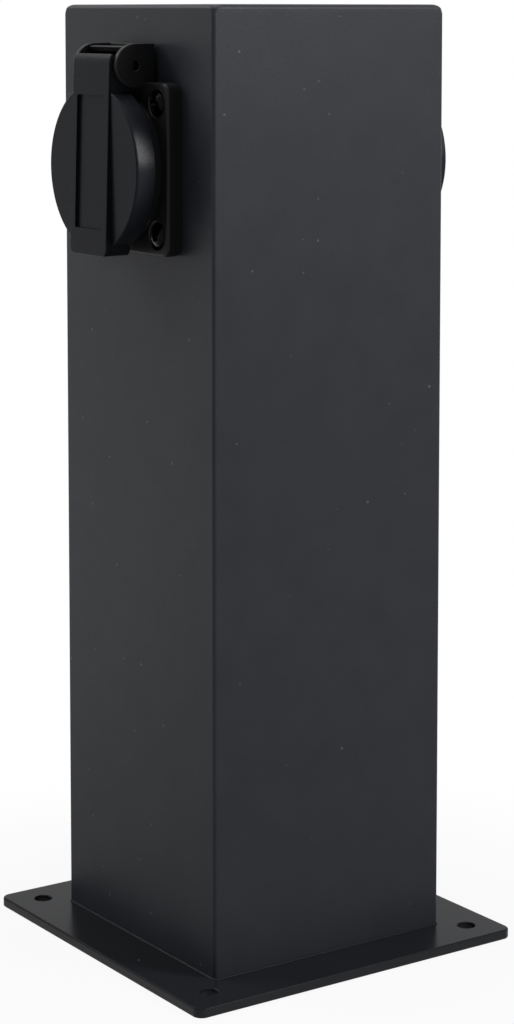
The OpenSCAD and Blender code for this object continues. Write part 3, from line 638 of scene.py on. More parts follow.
@dataclass(frozen=True)
class RimmedFinish(Finish):
    """A finish that is glossier round a piece's sides than on its front."""

    axis: str = "Y"  # The axis along which the front lies
    brow: Point = (0.0552, 0.0558)  # Distances from the post's origin where the gloss changes
    rim_specular: float = 0.13  # Specular level behind the front

    def gloss(self, sheet: Sheet, place: Port) -> Source:
        """The specular level, which differs before and behind the brow.

        Args:
            sheet: The material's nodes.
            place: Where the pattern lies.

        Returns:
            The level.
        """
        axes = sheet.add("ShaderNodeSeparateXYZ", Vector=place)
        out = sheet.sum("ABSOLUTE", axes.outputs[self.axis])
        return sheet.span(out, self.brow, (self.rim_specular, self.specular))


@dataclass(frozen=True)
class StripedFinish(Finish):
    """A jacket with stripes of a second colour along the wire."""

    stripe: Colour = (0.6, 0.5, 0.03)  # Colour of the stripes
    pitch: float = 0.0029  # Width of a pair of stripes
    threshold: float = 0.6  # Value of the wave over which the stripe shows

    def colour(self, sheet: Sheet, cloud: Port, place: Port) -> Port:
        """The jacket's colour, striped along its run.

        Args:
            sheet: The material's nodes.
            cloud: The clouds of tone.
            place: Where the pattern lies.

        Returns:
            The colour.
        """
        plain = super().colour(sheet, cloud, place)
        wave = sheet.add("ShaderNodeTexWave", Scale=math.pi / (10 * self.pitch), Vector=place)
        share = sheet.sum("GREATER_THAN", wave.outputs["Fac"], self.threshold)
        return sheet.blend(share, plain, self.stripe)


SATIN = (0.30, 0.40)  # Roughness of moulded plastic

FINISHES = (
    Finish(
        "powder_coat", "powder_coat", (0.0236, 0.0258, 0.0317), (0.0280, 0.0306, 0.0370),
        (0.34, 0.44), 0.16, grain=0.0009, depth=0.000025, cloud=0.014, specks=0.0046, speck_share=0.6,
    ),
    # Coat of the base plate and the weld. It is glossier than powder_coat, and its colour is darker partly
    # as painted shade, which offsets the top lamp's light on the plate's upward face.
    RimmedFinish(
        "shaded_satin_coat", "powder_coat", (0.0140, 0.0149, 0.0178), (0.0160, 0.0170, 0.0203),
        (0.23, 0.27), 0.045, grain=0.0005, depth=0.0000008, cloud=0.03, specks=0.005, speck_share=0.04,
        axis="Z", brow=(0.0024, 0.0027), rim_specular=0.24,
    ),
    RimmedFinish(
        "lid_plastic", "black_plastic", (0.0113, 0.0126, 0.0164), (0.0129, 0.0143, 0.0186),
        (0.22, 0.36), 0.055, grain=0.00032, depth=0.000006, cloud=0.02,
    ),
    Finish(
        "shell_plastic", "black_plastic", (0.0126, 0.0130, 0.0142), (0.0148, 0.0152, 0.0165), SATIN, 0.12,
        grain=0.0004, depth=0.000006, cloud=0.02,
    ),
    Finish(
        "insert_plastic", "insert_plastic", (0.008, 0.008, 0.009), (0.011, 0.011, 0.012), SATIN, 0.20,
        grain=0.0004, depth=0.000008, cloud=0.015,
    ),
    Finish(
        "seal_rubber", "seal_rubber", (0.006, 0.006, 0.006), (0.010, 0.010, 0.010), (0.62, 0.75), 0.15,
        grain=0.0005, depth=0.00002, cloud=0.01,
    ),
    # Near-black as painted shade: the colour stands in for the dark surroundings that the bright plated
    # screw heads reflect.
    Finish(
        "screw_steel", "screw_steel", (0.0035, 0.0035, 0.0037), (0.006, 0.006, 0.0063),
        (0.10, 0.20), 0.5, 1.0, grain=0.0006, depth=0.00006, cloud=0.002,
    ),
    Finish(
        "zinc_steel", "zinc_steel", (0.50, 0.51, 0.53), (0.62, 0.63, 0.65), (0.26, 0.42), 0.5, 1.0,
        grain=0.0006, depth=0.000008, cloud=0.004,
    ),
    Finish(
        "black_steel", "zinc_steel", (0.004, 0.004, 0.0043), (0.007, 0.007, 0.0074), (0.28, 0.40), 0.5, 1.0,
        grain=0.0004, depth=0.000006, cloud=0.003,
    ),
    Finish(
        "contact_brass", "brass", (0.58, 0.40, 0.15), (0.70, 0.52, 0.22), (0.24, 0.38), 0.5, 1.0,
        grain=0.0005, depth=0.000006, cloud=0.006,
    ),
    Finish(
        "block_plastic", "block_plastic", (0.70, 0.68, 0.62), (0.78, 0.76, 0.70), (0.40, 0.52), 0.45,
        grain=0.0006, depth=0.00001, cloud=0.01,
    ),
    Finish("brown_jacket", "live_wire", (0.09, 0.032, 0.012), (0.12, 0.045, 0.018), SATIN, cloud=0.01),
    Finish("blue_jacket", "neutral_wire", (0.015, 0.09, 0.33), (0.022, 0.12, 0.40), SATIN, cloud=0.01),
    StripedFinish("striped_jacket", "earth_wire", (0.05, 0.24, 0.02), (0.07, 0.29, 0.03), SATIN, cloud=0.01),
)


class Finishes:
    """Every finish of the post, made once."""

    def __init__(self) -> None:
        """Makes the materials."""
        self.by_name = {f.name: f for f in FINISHES}
        self.made = {f.name: f.make() for f in FINISHES}

    def put_on(self, piece: Piece, finish: str) -> None:
        """Gives a piece one finish.

        Args:
            piece: A new piece or a CAD node.
            finish: Name of the finish.
        """
        piece.data.materials.clear()
        piece.data.materials.append(self.made[finish])

    def coat(self, finish: str, *nodes: str) -> None:
        """Gives CAD nodes that stay as they are one finish."""
        for node in nodes:
            self.put_on(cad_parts[node], finish)


def set_out(piece: Piece, body: Body, nodes: Iterable[str], finishes: Finishes, finish: str) -> None:
    """Dresses a new piece, and says what it rides on and stands for.

    Args:
        piece: The piece.
        body: The body that it rides on.
        nodes: CAD nodes that it stands for.
        finishes: The post's finishes.
        finish: Name of its finish.
    """
    finishes.put_on(piece, finish)
    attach(piece, body.value)
    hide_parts(*nodes)
    LOG.info("%s rides on %s, %d faces", piece.name, body.value, len(piece.data.polygons))


# The post


@dataclass(frozen=True)
class Shell:
    """The column and the plate that closes its top."""

    width: float = COLUMN
    height: float = 285.0  # Height of the post
    edge: float = COLUMN_EDGE
    top: float = 4.0  # Thickness of the top plate
    ease: float = 1.4  # Rounding of the edge round the top
    corner: float = 4.5  # Radius to which the top's corners are ground, seen from above

    def top_plate(self) -> Piece:
        """The top plate, rounded over above, with corners that are ground rounder towards the top.

        Returns:
            The piece.
        """
        low = self.height - self.top
        rings = [(self.width, self.edge, low), (self.width, self.edge, low + (self.top - self.ease) / 2)]
        for round_out, up in arc((0.0, 0.0), self.ease, 0, 90, 8):
            rise = self.top - self.ease + up
            grown = 1.0 - math.sqrt(max(0.0, 1.0 - (rise / self.top) ** 2))
            radius = self.edge + (self.corner - self.edge) * grown
            rings.append((self.width - 2 * (self.ease - round_out), radius, low + rise))
        return Workpiece().loft(rings, 10).finish("top_cover", TO_METRES, 40.0)

    def dress(self, finishes: Finishes) -> None:
        """Builds the top and coats the column."""
        set_out(self.top_plate(), Body.POST, ["top_plate"], finishes, "powder_coat")
        finishes.coat("powder_coat", "column")


@dataclass(frozen=True)
class Foot:
    """The base plate and the weld that joins the column to it."""

    width: float = 115.0  # Width of the base plate
    thick: float = 3.0  # Its thickness
    corner: float = 3.0  # Radius of its corners
    ease: float = 0.5  # Rounding of its edges
    bolt_at: float = 47.5  # Distance of a fixing hole from the middle, along X and Y
    bolt_r: float = 2.75  # Radius of a fixing hole
    bolt_ease: float = 0.25  # Chamfer of a fixing hole
    inlet_r: float = 28.0  # Radius of the opening for the cable
    inlet_ease: float = 0.3  # Chamfer of that opening
    stud_at: float = 31.75  # Distance of the earth stud from the middle, along X and Y
    stud_r: float = 2.52  # Radius of the stud's hole
    stud_ease: float = 0.05  # Chamfer of the stud's hole
    column: float = COLUMN
    edge: float = COLUMN_EDGE
    gap: float = 0.05  # Clearance of the bead from the column
    leg: float = 0.6  # Leg of the weld bead at its fullest
    mean: float = 0.78  # Mean share of that leg
    ripple: Spot = (0.9, 3.0, 0.20)  # Ripples: how fine, which layer of noise, share of the leg
    swell: Spot = (0.13, 9.0, 0.22)  # Slow swelling, in the same terms
    cuts: int = 170  # Cuts along each side of the bead
    section: tuple[Point, ...] = (  # Points across the bead, in legs out and up
        (0.0, 1.0), (0.15, 1.0), (0.38, 0.72), (0.60, 0.52), (0.84, 0.30), (1.0, 0.12), (1.0, 0.0),
    )

    def hole(self, at: Point, radius: float, ease: float, steps: int = 48) -> Workpiece:
        """A cutter for a hole with eased rims.

        Args:
            at: Place along X and Y.
            radius: Radius of the hole.
            ease: Chamfer of its rims.
            steps: Steps round the hole.

        Returns:
            The cutter.
        """
        top, rim, out = self.thick, radius + ease, radius + ease + OVER
        lower = [(0, -OVER), (out, -OVER), (rim, 0), (radius, ease)]
        upper = [(radius, top - ease), (rim, top), (out, top + OVER), (0, top + OVER)]
        return Workpiece().lathe(lower + upper, steps).move(Matrix.Translation((*at, 0)))

    def base_plate(self) -> Piece:
        """The plate with its fixing holes, its cable opening and the hole of the earth stud.

        Returns:
            The piece.
        """
        part = Workpiece().plate((self.width, self.width), self.corner, 0.0, self.thick).soften(self.ease)
        cutters = [self.hole((0, 0), self.inlet_r, self.inlet_ease, 96)]
        cutters.append(self.hole((self.stud_at, self.stud_at), self.stud_r, self.stud_ease))
        for x, y in CORNERS:
            cutters.append(self.hole((x * self.bolt_at, y * self.bolt_at), self.bolt_r, self.bolt_ease))
        return part.combine(Cut.TAKE_AWAY, *cutters).finish("foot_plate", TO_METRES)

    def bead(self, at: Vector) -> float:
        """Leg of the bead at a place, uneven as a hand-held torch leaves it.

        Args:
            at: The place along X and Y.

        Returns:
            The leg.
        """
        share = self.mean
        for fine, layer, part in (self.ripple, self.swell):
            share += part * noise.noise(Vector((at.x * fine, at.y * fine, layer)))
        return self.leg * share

    def weld(self) -> Piece:
        """The bead round the column's foot.

        Returns:
            The piece.
        """
        side, radius = self.column + 2 * self.gap, self.edge + self.gap
        part = Workpiece().rounded((side, side), radius, self.thick, 10)
        bm = part.bm
        bmesh.ops.delete(bm, geom=list(bm.faces), context="FACES_ONLY")
        runs = [e for e in bm.edges if e.calc_length() > side / 2]
        bmesh.ops.subdivide_edges(bm, edges=runs, cuts=self.cuts)
        straight = side / 2 - radius
        first = loop = list(bm.edges)
        for out, up in self.section:
            grown = bmesh.ops.extrude_edge_only(bm, edges=loop)["geom"]
            loop = [g for g in grown if isinstance(g, BMEdge)]
            for vert in (g for g in grown if isinstance(g, BMVert)):
                flat = vert.co.xy
                core = Vector(max(-straight, min(straight, c)) for c in flat)
                way = (flat - core).normalized()
                on_line = core + way * radius
                leg = self.bead(on_line)
                vert.co.xy = on_line + way * leg * out
                vert.co.z = self.thick + leg * up
        bmesh.ops.bridge_loops(bm, edges=first + loop)
        return part.finish("foot_weld", TO_METRES, 60.0)

    def dress(self, finishes: Finishes) -> None:
        """Builds the plate and the weld, and coats them."""
        # Their coat is darker than the column's partly as painted shade under the top lamp.
        set_out(self.base_plate(), Body.POST, ["base_plate"], finishes, "shaded_satin_coat")
        set_out(self.weld(), Body.POST, ["base_weld"], finishes, "shaded_satin_coat")


# A socket


@dataclass(frozen=True)
class Hinge:
    """The axis that a lid turns on, which runs along X."""

    up: float = 29.8  # Height over the socket's middle
    out: float = 7.7  # Distance out

    @property
    def spot(self) -> Point:
        """The axis in a side view, as distance out and height."""
        return self.out, self.up

    @property
    def at(self) -> Matrix:
        """Moves the socket's middle to the axis."""
        return Matrix.Translation((0, self.up, self.out))

    @property
    def along(self) -> Matrix:
        """Lays a shape on the Z axis along the hinge's axis."""
        return self.at @ Matrix.Rotation(QUARTER, 4, "Y")


@dataclass(frozen=True)
class Flange:
    """The moulding on the column's face: flange, collar, body and hinge ears."""

    hinge: Hinge = Hinge()
    width: float = 50.0  # Width of the flange
    corner: float = 3.0  # Radius of its corners
    back: float = 1.0  # Distance of its back, which is the gasket's thickness
    front: float = 4.9  # Distance of its front
    ease: float = 0.8  # Rounding of its front edge
    rim: float = 11.2  # Distance of the collar's rim
    lead: float = 0.4  # Rounding of that rim, inside and outside
    floor: float = -6.3  # Distance of the recess floor
    recess_r: float = 19.5  # Radius of the plug recess
    collar_r: float = 22.0  # Outer radius of the collar
    seat_r: float = 20.1  # Radius of the bore that the insert sits in
    body_r: float = 21.3  # Outer radius of the body inside the column
    body_end: float = -28.6  # Distance of the body's rear end
    screw_at: float = 19.0  # Distance of a screw from the middle, along X and Y
    screw_r: float = 2.2  # Radius of a screw's hole
    pocket_r: float = 4.0  # Radius of the pocket round a screw head
    pocket: float = 3.4  # Distance of the pocket's floor
    pocket_lip: float = 0.35  # Chamfer of the pocket's rim
    pocket_fillet: float = 0.2  # Chamfer round the pocket's floor
    ear_r: float = 6.4  # Radius of an ear
    ear_in: float = 10.4  # Distance of an ear's inner face from the middle
    ear_out: float = 12.2  # Distance of an ear's outer face from the middle
    plate: float = 1.4  # Thickness of the plate that joins the ears
    plate_low: float = 22.0  # Height of that plate's foot over the middle
    pin_r: float = 1.52  # Radius of the pin's hole
    pin_lead: float = 0.12  # Countersink of the pin's hole
    roof_in: float = 4.2  # Inner radius of the roof over the hinge
    roof_out: float = 5.76  # Outer radius of that roof
    roof_turn: Point = (70.0, 165.0)  # Angles of its front and rear edge about the hinge, in degrees

    def slab(self) -> Workpiece:
        """The flange by itself, its front edge rounded."""
        part = Workpiece().plate((self.width, self.width), self.corner, self.back, self.front)
        return part.soften(self.ease, 4, where=over(self.front))

    def drum(self) -> Workpiece:
        """The collar and the body, still solid.

        Returns:
            The shape.
        """
        rim, lead, ledge, end = self.rim, self.lead, self.back + 1, self.body_end
        collar = [(0, rim), (self.collar_r - lead, rim), (self.collar_r, rim - lead), (self.collar_r, ledge)]
        return Workpiece().lathe([*collar, (self.body_r, ledge), (self.body_r, end), (0, end)])

    def ear(self, side: int) -> Workpiece:
        """One hinge ear.

        Args:
            side: -1 or +1, along X.

        Returns:
            The ear, its edges rounded.
        """
        outline = [(self.back, self.hinge.up + self.ear_r), (self.back, self.hinge.up - self.ear_r)]
        outline += arc(self.hinge.spot, self.ear_r, -90, 90, 32)
        ends = sorted((side * self.ear_in, side * self.ear_out))
        return Workpiece().across(outline, *ends).soften(0.3, 3, 40.0)

    def back_plate(self) -> Workpiece:
        """The plate that joins the ears.

        Returns:
            The plate, its edges rounded.
        """
        top = self.hinge.up + self.ear_r
        outline = oblong((self.back, self.back + self.plate), (self.plate_low, top))
        reach = self.ear_out - 0.05
        return Workpiece().across(outline, -reach, reach).soften(0.25, 2, 40.0)

    def roof(self) -> Workpiece:
        """The curved roof that joins the ears over the spring.

        Returns:
            The roof, its edges rounded.
        """
        axis = self.hinge.spot
        front, rear = self.roof_turn
        outline = arc(axis, self.roof_out, front, rear, 20) + arc(axis, self.roof_in, rear, front, 20)
        reach = (self.ear_in + self.ear_out) / 2
        return Workpiece().across(outline, -reach, reach).soften(0.2, 2)

    def screw_hole(self, x: float, y: float) -> Workpiece:
        """A cutter for one screw's hole and pocket.

        Args:
            x: Place along X.
            y: Place along Y.

        Returns:
            The cutter.
        """
        low, high, wide = self.pocket, self.front, self.pocket_r
        lip, fillet = self.pocket_lip, self.pocket_fillet
        profile = [(0, 0), (self.screw_r, 0), (self.screw_r, low), (wide - fillet, low)]
        profile += [(wide, low + fillet), (wide, high - lip), (wide + lip, high)]
        profile += [(wide + lip + OVER, high + OVER), (0, high + OVER)]
        return Workpiece().lathe(profile, 48).move(Matrix.Translation((x, y, 0)))

    def bore(self) -> Workpiece:
        """A cutter for the plug recess and the insert's seat.

        Returns:
            The cutter.
        """
        r, rim, lead, end = self.recess_r, self.rim, self.lead, self.body_end - OVER
        profile = [(0, end), (self.seat_r, end), (self.seat_r, self.floor), (r, self.floor), (r, rim - lead)]
        profile += [(r + lead, rim), (r + lead + OVER, rim + OVER), (0, rim + OVER)]
        return Workpiece().lathe(profile)

    def pin_bore(self) -> Workpiece:
        """A cutter for the pin's hole, countersunk at both ends.

        Returns:
            The cutter.
        """
        end, wide = -self.ear_out, self.pin_r + self.pin_lead
        half = [(0, end - OVER), (wide + OVER, end - OVER), (wide, end), (self.pin_r, end + self.pin_lead)]
        return spindle(half, 32).move(self.hinge.along)

    def form(self) -> Workpiece:
        """The whole moulding.

        Returns:
            The shape.
        """
        ears = [self.ear(side) for side in SIDES]
        part = self.slab().combine(Cut.ADD, self.drum(), self.back_plate(), self.roof(), *ears)
        holes = [self.screw_hole(x * self.screw_at, y * self.screw_at) for x, y in CORNERS]
        return part.combine(Cut.TAKE_AWAY, self.bore(), self.pin_bore(), *holes)


@dataclass(frozen=True)
class Lid:
    """The sprung lid: a round cap with a strap across it and a hood over the hinge."""

    hinge: Hinge = Hinge()
    radius: float = 24.5  # Outer radius of the cap
    back: float = 8.4  # Distance of its rear edge
    front: float = 14.9  # Distance of its front
    ease: float = 0.5  # Rounding of its front edge
    back_ease: float = 0.35  # Rounding of its rear edge
    pocket_r: float = 23.2  # Radius of the hollow behind it
    pocket_lip: float = 0.3  # Chamfer of the hollow's mouth
    pocket_fillet: float = 0.4  # Chamfer round the hollow's end
    ceiling: float = 12.8  # Distance of the hollow's end
    strap: float = 20.2  # Width of the strap
    strap_front: float = 16.0  # Distance of the strap's front, at the lid's middle
    strap_lean: float = 1.6  # Angle by which the strap's front leans out towards its lower end
    strap_end: float = -25.3  # Height of the strap's lower end
    strap_corner: float = 2.0  # Radius of the strap's lower corners
    panel: float = 15.2  # Width of the shallow panel
    panel_low: float = -17.7  # Height of the panel's lower edge
    panel_high: float = 21.3  # Height of its upper edge
    panel_corner: float = 0.6  # Radius of its corners
    panel_sink: float = 0.9  # Its depth
    hood_r: float = 7.46  # Outer radius of the hood
    hood_in: float = 6.26  # Inner radius of the hood
    hood_turn: float = 28.0  # Angle that the hood reaches over the hinge
    barrel_r: float = 3.4  # Radius of a barrel
    barrel_at: float = 7.8  # Distance of a barrel's middle from the lid's middle
    barrel: float = 4.4  # Length of a barrel
    barrel_steps: int = 48  # Steps round a barrel
    web_lean: float = 64.0  # Angle by which a barrel's web leans down to the hood
    web: float = 4.4  # Thickness of the web
    web_top: float = 2.2  # Distance of the web's upper face from the hinge
    pin_r: float = 1.55  # Radius of the pin's hole

    def cap(self) -> Workpiece:
        """The round cap, still solid, its edges rounded."""
        part = rod(self.radius, self.front, self.back, 240)
        return part.soften(self.ease, 5, where=over(self.front)).soften(self.back_ease)

    def strap_foot(self, edge: BMEdge) -> bool:
        """Whether an edge is one of the strap's lower corners."""
        return along_z(edge) and all(v.co.y < self.strap_end + MERGE for v in edge.verts)

    def strap_bar(self) -> Workpiece:
        """The strap with its hood, still without its panel.

        Returns:
            The strap, its edges rounded.
        """
        foot = self.strap_front - self.strap_end * math.tan(math.radians(self.strap_lean))
        meet = -math.degrees(math.acos((self.back - self.hinge.out) / self.hood_in))
        outline = [(self.back, self.strap_end), (foot, self.strap_end)]
        outline += arc(self.hinge.spot, self.hood_r, self.strap_lean, self.hood_turn, 8)
        outline += arc(self.hinge.spot, self.hood_in, self.hood_turn, meet, 28)
        part = Workpiece().across(outline, -self.strap / 2, self.strap / 2)
        part.soften(self.strap_corner, 8, where=self.strap_foot)
        return part.tidy().soften(0.2, 3, 40.0)

    def panel_cut(self) -> Workpiece:
        """A cutter for the shallow panel, square to the strap's leaning front.

        Returns:
            The cutter.
        """
        size = (self.panel, self.panel_high - self.panel_low)
        part = Workpiece().plate(size, self.panel_corner, -self.panel_sink, OVER)
        up = Matrix.Translation((0, (self.panel_low + self.panel_high) / 2, 0))
        lean = Matrix.Rotation(math.radians(-self.strap_lean), 4, "X")
        return part.move(Matrix.Translation((0, 0, self.strap_front)) @ lean @ up)

    def barrel_web(self, side: int) -> Workpiece:
        """One hinge barrel and its web to the hood.

        Args:
            side: -1 or +1, along X.

        Returns:
            The barrel and web as one shape.
        """
        at, half, steps = side * self.barrel_at, self.barrel / 2, self.barrel_steps
        ends = (at - half, at + half)
        ring = arc(self.hinge.spot, self.barrel_r, 0, 360 - 360 / steps, steps - 1)
        drum = Workpiece().across(ring, *ends).soften(0.25, 2)
        reach = math.sqrt(((self.hood_in + self.hood_r) / 2) ** 2 - self.web_top**2)
        bar = Workpiece().across(oblong((0, reach), (self.web_top - self.web, self.web_top)), *ends)
        bar.move(self.hinge.at @ Matrix.Rotation(math.radians(self.web_lean), 4, "X"))
        return drum.combine(Cut.ADD, bar)

    def hollow(self) -> Workpiece:
        """A cutter for the hollow behind the cap, its mouth eased.

        Returns:
            The cutter.
        """
        r, back, end = self.pocket_r, self.back, self.ceiling
        lip, fillet = self.pocket_lip, self.pocket_fillet
        mouth = [(0, back - OVER), (r + lip + OVER, back - OVER), (r + lip, back), (r, back + lip)]
        return Workpiece().lathe([*mouth, (r, end - fillet), (r - fillet, end), (0, end)], 128)

    def pin_bore(self) -> Workpiece:
        """A cutter for the pin's hole."""
        return rod(self.pin_r, -self.strap, self.strap, 32).move(self.hinge.along)

    def form(self) -> Workpiece:
        """The whole lid."""
        part = self.cap().combine(Cut.ADD, self.strap_bar(), *(self.barrel_web(side) for side in SIDES))
        return part.combine(Cut.TAKE_AWAY, self.hollow(), self.pin_bore(), self.panel_cut())


@dataclass(frozen=True)
class FlangeScrew:
    """A pan-head screw with a cross recess."""

    head_r: float = 3.5  # Radius of the head
    head: float = 2.2  # Height of the head
    shank_r: float = 1.95  # Radius of the thread
    shank: float = 9.0  # Length under the head
    tip_r: float = 1.2  # Radius of the tip
    tip: float = 0.6  # Length of the tip
    cross: float = 3.9  # Length of the cross recess
    blade: float = 0.95  # Width of its arms
    deep: float = 1.5  # Depth of the recess
    taper: Point = (0.55, 0.7)  # Shares of an arm's length and width at the recess's end
    crown: tuple[Point, ...] = (  # The head's outline, in shares of its radius and height
        (0, 1), (0.35, 0.985), (0.62, 0.90), (0.84, 0.74), (0.96, 0.50), (1, 0.28), (0.98, 0),
    )

    def form(self) -> Workpiece:
        """The screw on the Z axis, its head resting at height zero.

        Returns:
            The shape.
        """
        profile = [(r * self.head_r, h * self.head) for r, h in self.crown]
        profile += [(self.shank_r, 0), (self.shank_r, self.tip - self.shank)]
        profile += [(self.tip_r, -self.shank), (0, -self.shank)]
        return Workpiece().lathe(profile, 48).combine(Cut.TAKE_AWAY, self.arm(0.0), self.arm(QUARTER))

    def arm(self, turn: float) -> Workpiece:
        """A cutter for one tapering arm of the recess.

        Args:
            turn: Its angle about the Z axis.

        Returns:
            The cutter.
        """
        part = Workpiece()
        bmesh.ops.create_cube(part.bm, size=1.0)
        for vert in part.bm.verts:
            low = vert.co.z < 0
            vert.co.x *= self.cross * (self.taper[0] if low else 1.0)
            vert.co.y *= self.blade * (self.taper[1] if low else 1.0)
            vert.co.z = self.head - self.deep if low else self.head + 0.2
        return part.move(Matrix.Rotation(turn, 4, "Z"))


@dataclass(frozen=True)
class Insert:
    """The plug face with its pin holes, guides and slots for the earth clips."""

    radius: float = 20.0  # Radius of the insert
    back: float = -25.2  # Distance of its rear end
    floor: float = -6.3  # Distance of its face
    pin_at: float = PIN_AT
    pin_r: float = 2.7  # Radius of a pin hole
    lead: float = 0.8  # Lead-in of a pin hole
    sleeve_r: float = 3.5  # Radius of the pocket behind a pin hole
    sleeve_front: float = -9.5  # Distance of that pocket's end
    guide: float = 4.6  # Width of a guide
    guide_in: float = 17.1  # Distance of a guide's inner face from the middle
    guide_out: float = 19.25  # Distance of its outer face
    guide_long: float = 15.0  # Length of a guide
    slot: float = 5.4  # Width of the slots for the clips
    slot_in: float = 18.34  # Distance of a slot's inner face from the middle
    strip_front: float = -24.25  # Distance of the joining strip's front

    def pin_hole(self, x: float) -> Workpiece:
        """A cutter for one pin hole, with its lead-in and the sleeve's pocket.

        Args:
            x: Place along X.

        Returns:
            The cutter.
        """
        r, wide, lead, back = self.pin_r, self.pin_r + 2 * self.lead, self.lead, self.back - OVER
        sleeve, pocket = self.sleeve_r, self.sleeve_front
        profile = [(0, back), (sleeve, back), (sleeve, pocket), (r, pocket)]
        profile += [(r, self.floor - lead), (r + 0.5 * lead, self.floor - 0.55 * lead), (wide, self.floor)]
        profile += [(wide + OVER, self.floor + OVER), (0, self.floor + OVER)]
        return Workpiece().lathe(profile, 64).move(Matrix.Translation((x, 0, 0)))

    def guide_bar(self, side: int) -> Workpiece:
        """One plug guide, its edges rounded.

        Args:
            side: -1 or +1, along X.

        Returns:
            The guide.
        """
        xs = sorted((side * self.guide_in, side * self.guide_out))
        half, foot, top = self.guide / 2, self.floor - 1, self.floor + self.guide_long
        return Workpiece().prism(oblong(xs, (-half, half)), foot, top).soften(0.4)

    def clip_slot(self, side: int) -> Workpiece:
        """A cutter for one slot of an earth clip, below or above."""
        half, ys = self.slot / 2, sorted((side * self.slot_in, side * (self.radius + OVER)))
        return Workpiece().prism(oblong((-half, half), ys), self.back - OVER, self.floor + OVER)

    def strip_slot(self) -> Workpiece:
        """A cutter for the groove behind the insert, where the strip joins the clips."""
        half, reach = self.slot / 2, self.radius + OVER
        return Workpiece().prism(oblong((-half, half), (-reach, reach)), self.back - OVER, self.strip_front)

    def form(self) -> Workpiece:
        """The whole insert.

        Returns:
            The shape.
        """
        part = rod(self.radius, self.floor, self.back)
        part.combine(Cut.ADD, *(self.guide_bar(side) for side in SIDES))
        pins = [self.pin_hole(side * self.pin_at) for side in SIDES]
        slots = [self.clip_slot(side) for side in SIDES]
        return part.combine(Cut.TAKE_AWAY, *pins, *slots, self.strip_slot())


@dataclass(frozen=True)
class LidSpring:
    """The torsion spring on the hinge pin."""

    wire: float = 0.4  # Radius of the wire
    coil_r: float = 2.7  # Radius of the coil's middle line
    pitch: float = 1.35  # Distance from turn to turn
    first: float = 135.0  # Angle of the first turn's start, in degrees
    turns: int = 5  # Number of turns
    rear_reach: float = 4.8  # Distance that the rear leg reaches behind the hinge axis
    rear_steps: int = 6  # Steps of the rear leg
    lean: float = 64.0  # Angle by which the front leg leans down
    leg: float = 4.5  # Length of the front leg
    leg_at: float = 7.8  # Distance of the front leg's tip from the middle
    steps: int = 28  # Steps of one turn
    bends: tuple[Point, ...] = (  # The front leg's way to its tip, in shares along X and along the leg
        (0.025, 0.43), (0.07, 0.66), (0.12, 0.78), (0.25, 0.88), (0.5, 0.95), (1.0, 1.0),
    )

    @property
    def last(self) -> float:
        """Angle of the last turn's end, in degrees."""
        return 90.0 - self.lean - 360.0 * self.turns

    @property
    def length(self) -> float:
        """Length of the coil along the pin."""
        return self.pitch * (self.first - self.last) / 360.0

    def path(self) -> list[Vector]:
        """The wire's middle line about the hinge axis.

        Returns:
            Its points, from the rear leg to the front leg.
        """
        count, half = self.steps * self.turns, self.length / 2
        coil = []
        for i in range(count + 1):
            a = math.radians(self.first + (self.last - self.first) * i / count)
            x = self.length * (i / count - 0.5)
            coil.append(Vector((x, self.coil_r * math.sin(a), self.coil_r * math.cos(a))))
        a = math.radians(self.first)
        rear = (self.rear_reach + self.coil_r * math.cos(a)) / math.sin(a)
        tip = coil[0] + rear * Vector((0, math.cos(a), -math.sin(a)))
        rear_leg = [tip.lerp(coil[0], i / self.rear_steps) for i in range(self.rear_steps)]
        turn = Matrix.Rotation(math.radians(self.lean), 3, "X")
        reach = self.leg_at - half
        front_leg = [turn @ Vector((half + s * reach, self.coil_r, t * self.leg)) for s, t in self.bends]
        return rear_leg + coil + front_leg


